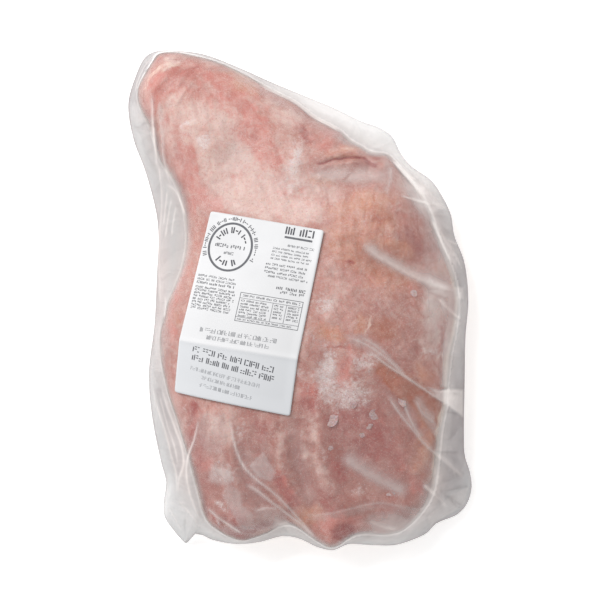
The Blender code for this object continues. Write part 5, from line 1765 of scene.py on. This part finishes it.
def stroke_rule(start, end, weight, tone):
    """A straight rule in short pieces, so that it can follow the label."""
    start, end = np.array(start), np.array(end)
    reach = np.linalg.norm(end - start)
    pieces = math.ceil(reach / PRINT_PIECE)
    turn = math.atan2(*(end - start)[::-1])
    half = reach / pieces / 2 + weight / 4
    places = [start + (end - start) * (k + 0.5) / pieces for k in range(pieces)]
    return [(*place, half, weight / 2, turn, tone) for place in places]


def stroke_ring():
    """The ring, in short pieces."""
    middle, half = np.array(RING_MIDDLE), np.array(RING_HALF)
    pieces = []
    for k in range(RING_PIECES):
        turn = 2 * math.pi * k / RING_PIECES
        place = middle + half * (math.cos(turn), math.sin(turn))
        slope = math.atan2(half[1] * math.cos(turn), -half[0] * math.sin(turn))
        half_width = RING_OVERLAP * math.pi * half.mean() / RING_PIECES
        pieces.append((*place, half_width, RING_LINE / 2, slope, RING_TONE))
    return pieces


def stroke_block(middle, half_width, half_height, tone):
    """A solid block in pieces small enough to follow the label."""
    pieces = math.ceil(2 * half_width / PRINT_PIECE)
    half = half_width / pieces
    places = [middle[0] - half_width + (2 * k + 1) * half for k in range(pieces)]
    return [(place, middle[1], half * BLOCK_OVERLAP, half_height, 0.0, tone) for place in places]


def print_group():
    """Makes a thin bar at each point, of the point's own size and turn."""
    inputs = (("Thickness", "NodeSocketFloat", 0.0001), ("Material", "NodeSocketMaterial", None))
    tree, given, out = new_geometry_group("printed_strokes", inputs)
    points = add(tree, "GeometryNodeMeshToPoints", {"Mesh": given["Mesh"]})
    bar = add(tree, "GeometryNodeMeshCube", {"Size": (2.0, 2.0, 1.0)})
    scale = three(tree, named(tree, "half_width"), named(tree, "half_height"), given["Thickness"])
    bars = placed(tree, points, bar, scale, three(tree, z=named(tree, "turn")))
    solid = add(tree, "GeometryNodeRealizeInstances", {"Geometry": bars})
    return finished(tree, solid, given, out)


def make_print(ink):
    """The label's print: thin bars laid out flat by the geometry group, then draped over the label."""
    paper = piece_made("paper_label").data
    grid = (LABEL_ROWS + 1, LABEL_COLUMNS + 1)
    sheet = np.array([v.co for v in paper.vertices[: grid[0] * grid[1]]]).reshape(*grid, 3)
    draw = np.random.default_rng(ink.seed)
    strokes = stroke_ring()
    for arc in ARCS:
        strokes += stroke_arc(*arc, draw)
    for row in ROWS:
        strokes += stroke_row(*row, draw)
    for left, right, first, last, rows, height, weight, tone in PARAGRAPHS:
        for down in np.linspace(first, last, rows):
            end = right - (right - left) * draw.uniform(0.0, SHORTEST_ROW)
            strokes += stroke_row((left, down), (end, down), height, weight, tone, draw)
    for rule in RULES:
        strokes += stroke_rule(*rule)
    for block in BLOCKS:
        strokes += stroke_block(*block)
    across, down, half_width, half_height, turn, tone = np.array(strokes).T
    flat = bpy.data.meshes.new("label_print")
    flat.from_pydata(np.column_stack([across, -down, np.zeros(len(across))]).tolist(), [], [])
    fields = {"half_width": half_width, "half_height": half_height, "turn": -turn, "ink": tone}
    for name, values in fields.items():
        paint(flat, name, values)
    material = ink_material(ink)
    settings = {"Thickness": ink.thickness, "Material": material}
    mesh = made_by_nodes("label_print", flat, print_group(), settings)

    places = np.array([v.co for v in mesh.vertices])
    i = np.clip(-places[:, 1] / LABEL_HEIGHT, 0.0, 0.99999) * LABEL_ROWS
    j = np.clip(places[:, 0] / LABEL_WIDTH, 0.0, 0.99999) * LABEL_COLUMNS
    row, column = i.astype(int), j.astype(int)
    s, t = (i - row)[:, None], (j - column)[:, None]
    upper = sheet[row, column] * (1 - t) + sheet[row, column + 1] * t
    lower = sheet[row + 1, column] * (1 - t) + sheet[row + 1, column + 1] * t
    draped = upper * (1 - s) + lower * s
    draped[:, 2] += places[:, 2] + ink.thickness
    mesh.vertices.foreach_set("co", draped.astype(np.float32).ravel())
    mesh.update()
    return new_piece("label_print", mesh, material, "label_ink")


def ink_material(ink):
    """Thermal print: dark grey to faint, a little worn."""
    made, tree, shader = new_material("label_ink", {"Specular IOR Level": 0.3})
    grain = frozen_grain(tree, 0.0007)
    share = plus(tree, attribute(tree, "ink"), times(tree, grain["Tone"], 0.16), clamp=True)
    rough = ranged(tree, grain["Tone"], 0.0, 1.0, 0.5, 0.65)
    surface(tree, shader, mixed(tree, share, ink.ink, ink.faint), rough)
    return made


# ---------------------------------------------------------------------------------------------
# The stage

FLOOR_SIZE = 8.0
FLOOR_DROP = 0.0002
SENSOR_WIDTH = 36.0
# The place that the lights face, and where each stands: place, side, in metres
LIT_PLACE = (0.0, 0.0, 0.05)
KEY_LIGHT = ((-1.2, 1.1, 1.7), 1.1)
GLINT_LIGHT = ((-0.5, 0.9, 1.9), 0.22)


def new_light(name, place, size, power):
    """A square soft light that faces the middle of the shoulder."""
    lamp = bpy.data.lights.new(name, "AREA")
    lamp.size, lamp.energy = size, power
    light = linked(name, lamp)
    light.location = place
    light.rotation_euler = (Vector(LIT_PLACE) - Vector(place)).to_track_quat("-Z", "Y").to_euler()


def make_stage(stage):
    """A plain pale floor, soft light from the upper left, and a camera straight above."""
    scene = bpy.context.scene
    half = FLOOR_SIZE / 2
    mesh = bpy.data.meshes.new("stage_floor")
    corners = [(-half, -half), (half, -half), (half, half), (-half, half)]
    mesh.from_pydata([(x, y, -FLOOR_DROP) for x, y in corners], [], [(0, 1, 2, 3)])
    made, tree, shader = new_material(
        "stage_floor",
        {"Roughness": 0.9, "Specular IOR Level": 0.1, "Emission Color": (1.0, 1.0, 1.0, 1.0),
         "Emission Strength": stage.floor_glow},
    )
    cloud = object_noise(tree, 0.5, detail=1.0)
    tree.links.new(mixed(tree, cloud, stage.floor, dulled(stage.floor, 0.995)), shader.inputs["Base Color"])
    mesh.materials.append(made)
    floor = linked("stage_floor", mesh)

    camera = bpy.data.cameras.new("camera")
    camera.lens, camera.sensor_width = stage.lens, SENSOR_WIDTH
    view = linked("camera", camera)
    view.location = (0.0, 0.0, stage.camera_height)
    scene.camera = view

    new_light("key_light", *KEY_LIGHT, stage.key_power)
    new_light("glint_light", *GLINT_LIGHT, stage.glint_power)
    world = bpy.data.worlds.new("studio")
    world.use_nodes = True
    sky = world.node_tree.nodes["Background"].inputs
    sky["Color"].default_value, sky["Strength"].default_value = (1.0, 1.0, 1.0, 1.0), stage.sky
    scene.world = world
    scene.view_settings.view_transform = "Standard"


# ---------------------------------------------------------------------------------------------
# Operators and panel


class SHOULDER_OT_stage(Operator):
    """Sets up the plain floor, the soft light and the camera"""

    bl_idname = "shoulder.stage"
    bl_label = "Make Stage"

    def execute(self, context):
        make_stage(context.scene.stage_settings)
        return {"FINISHED"}


class SHOULDER_OT_flesh(Operator):
    """Makes the frozen shoulder, flesh side up"""

    bl_idname = "shoulder.flesh"
    bl_label = "Make Shoulder"

    def execute(self, context):
        make_shoulder(context.scene.shoulder_settings)
        return {"FINISHED"}


class SHOULDER_OT_bone(Operator):
    """Makes the cut end of the shank bone"""

    bl_idname = "shoulder.bone"
    bl_label = "Make Shank Bone"

    def execute(self, context):
        make_bone(context.scene.bone_settings)
        return {"FINISHED"}


class SHOULDER_OT_ice(Operator):
    """Scatters frost over the flesh and lays the flakes of ice on it"""

    bl_idname = "shoulder.ice"
    bl_label = "Make Ice"

    def execute(self, context):
        make_ice(context.scene.shoulder_settings, context.scene.ice_settings)
        return {"FINISHED"}


class SHOULDER_OT_film(Operator):
    """Stretches the clear bag over the shoulder and its ice"""

    bl_idname = "shoulder.film"
    bl_label = "Make Film"

    def execute(self, context):
        scene = context.scene
        make_film(scene.shoulder_settings, scene.film_settings, scene.ice_settings)
        return {"FINISHED"}


class SHOULDER_OT_label(Operator):
    """Lays the paper label on the film, which has to be there"""

    bl_idname = "shoulder.label"
    bl_label = "Make Label"

    def execute(self, context):
        make_label(context.scene.label_settings)
        return {"FINISHED"}


class SHOULDER_OT_print(Operator):
    """Prints plain strokes, a ring and a table on the label, which has to be there"""

    bl_idname = "shoulder.print"
    bl_label = "Make Print"

    def execute(self, context):
        make_print(context.scene.print_settings)
        return {"FINISHED"}


class SHOULDER_PT_panel(Panel):
    """Lists the pieces, in the order in which they are made"""

    bl_label = "Bagged Pork Shoulder"
    bl_space_type = "VIEW_3D"
    bl_region_type = "UI"
    bl_category = "Shoulder"

    def draw(self, context):
        for operator in OPERATORS:
            self.layout.operator(operator.bl_idname)
        for name in SETTINGS:
            box = self.layout.box()
            group = getattr(context.scene, name)
            for key in group.__annotations__:
                box.prop(group, key)


SETTINGS = {
    "stage_settings": StageSettings,
    "shoulder_settings": ShoulderSettings,
    "bone_settings": BoneSettings,
    "film_settings": FilmSettings,
    "ice_settings": IceSettings,
    "label_settings": LabelSettings,
    "print_settings": PrintSettings,
}
OPERATORS = (
    SHOULDER_OT_stage,
    SHOULDER_OT_flesh,
    SHOULDER_OT_bone,
    SHOULDER_OT_ice,
    SHOULDER_OT_film,
    SHOULDER_OT_label,
    SHOULDER_OT_print,
)


def register():
    for made in (*SETTINGS.values(), *OPERATORS, SHOULDER_PT_panel):
        bpy.utils.register_class(made)
    for name, group in SETTINGS.items():
        setattr(bpy.types.Scene, name, PointerProperty(type=group))


def unregister():
    for name in SETTINGS:
        delattr(bpy.types.Scene, name)
    for made in (SHOULDER_PT_panel, *reversed(OPERATORS), *reversed(SETTINGS.values())):
        bpy.utils.unregister_class(made)


def main():
    register()
    bpy.ops.shoulder.stage()
    bpy.ops.shoulder.flesh()
    bpy.ops.shoulder.bone()
    bpy.ops.shoulder.ice()
    bpy.ops.shoulder.film()
    bpy.ops.shoulder.label()
    bpy.ops.shoulder.print()


if __name__ == "__main__":
    main()
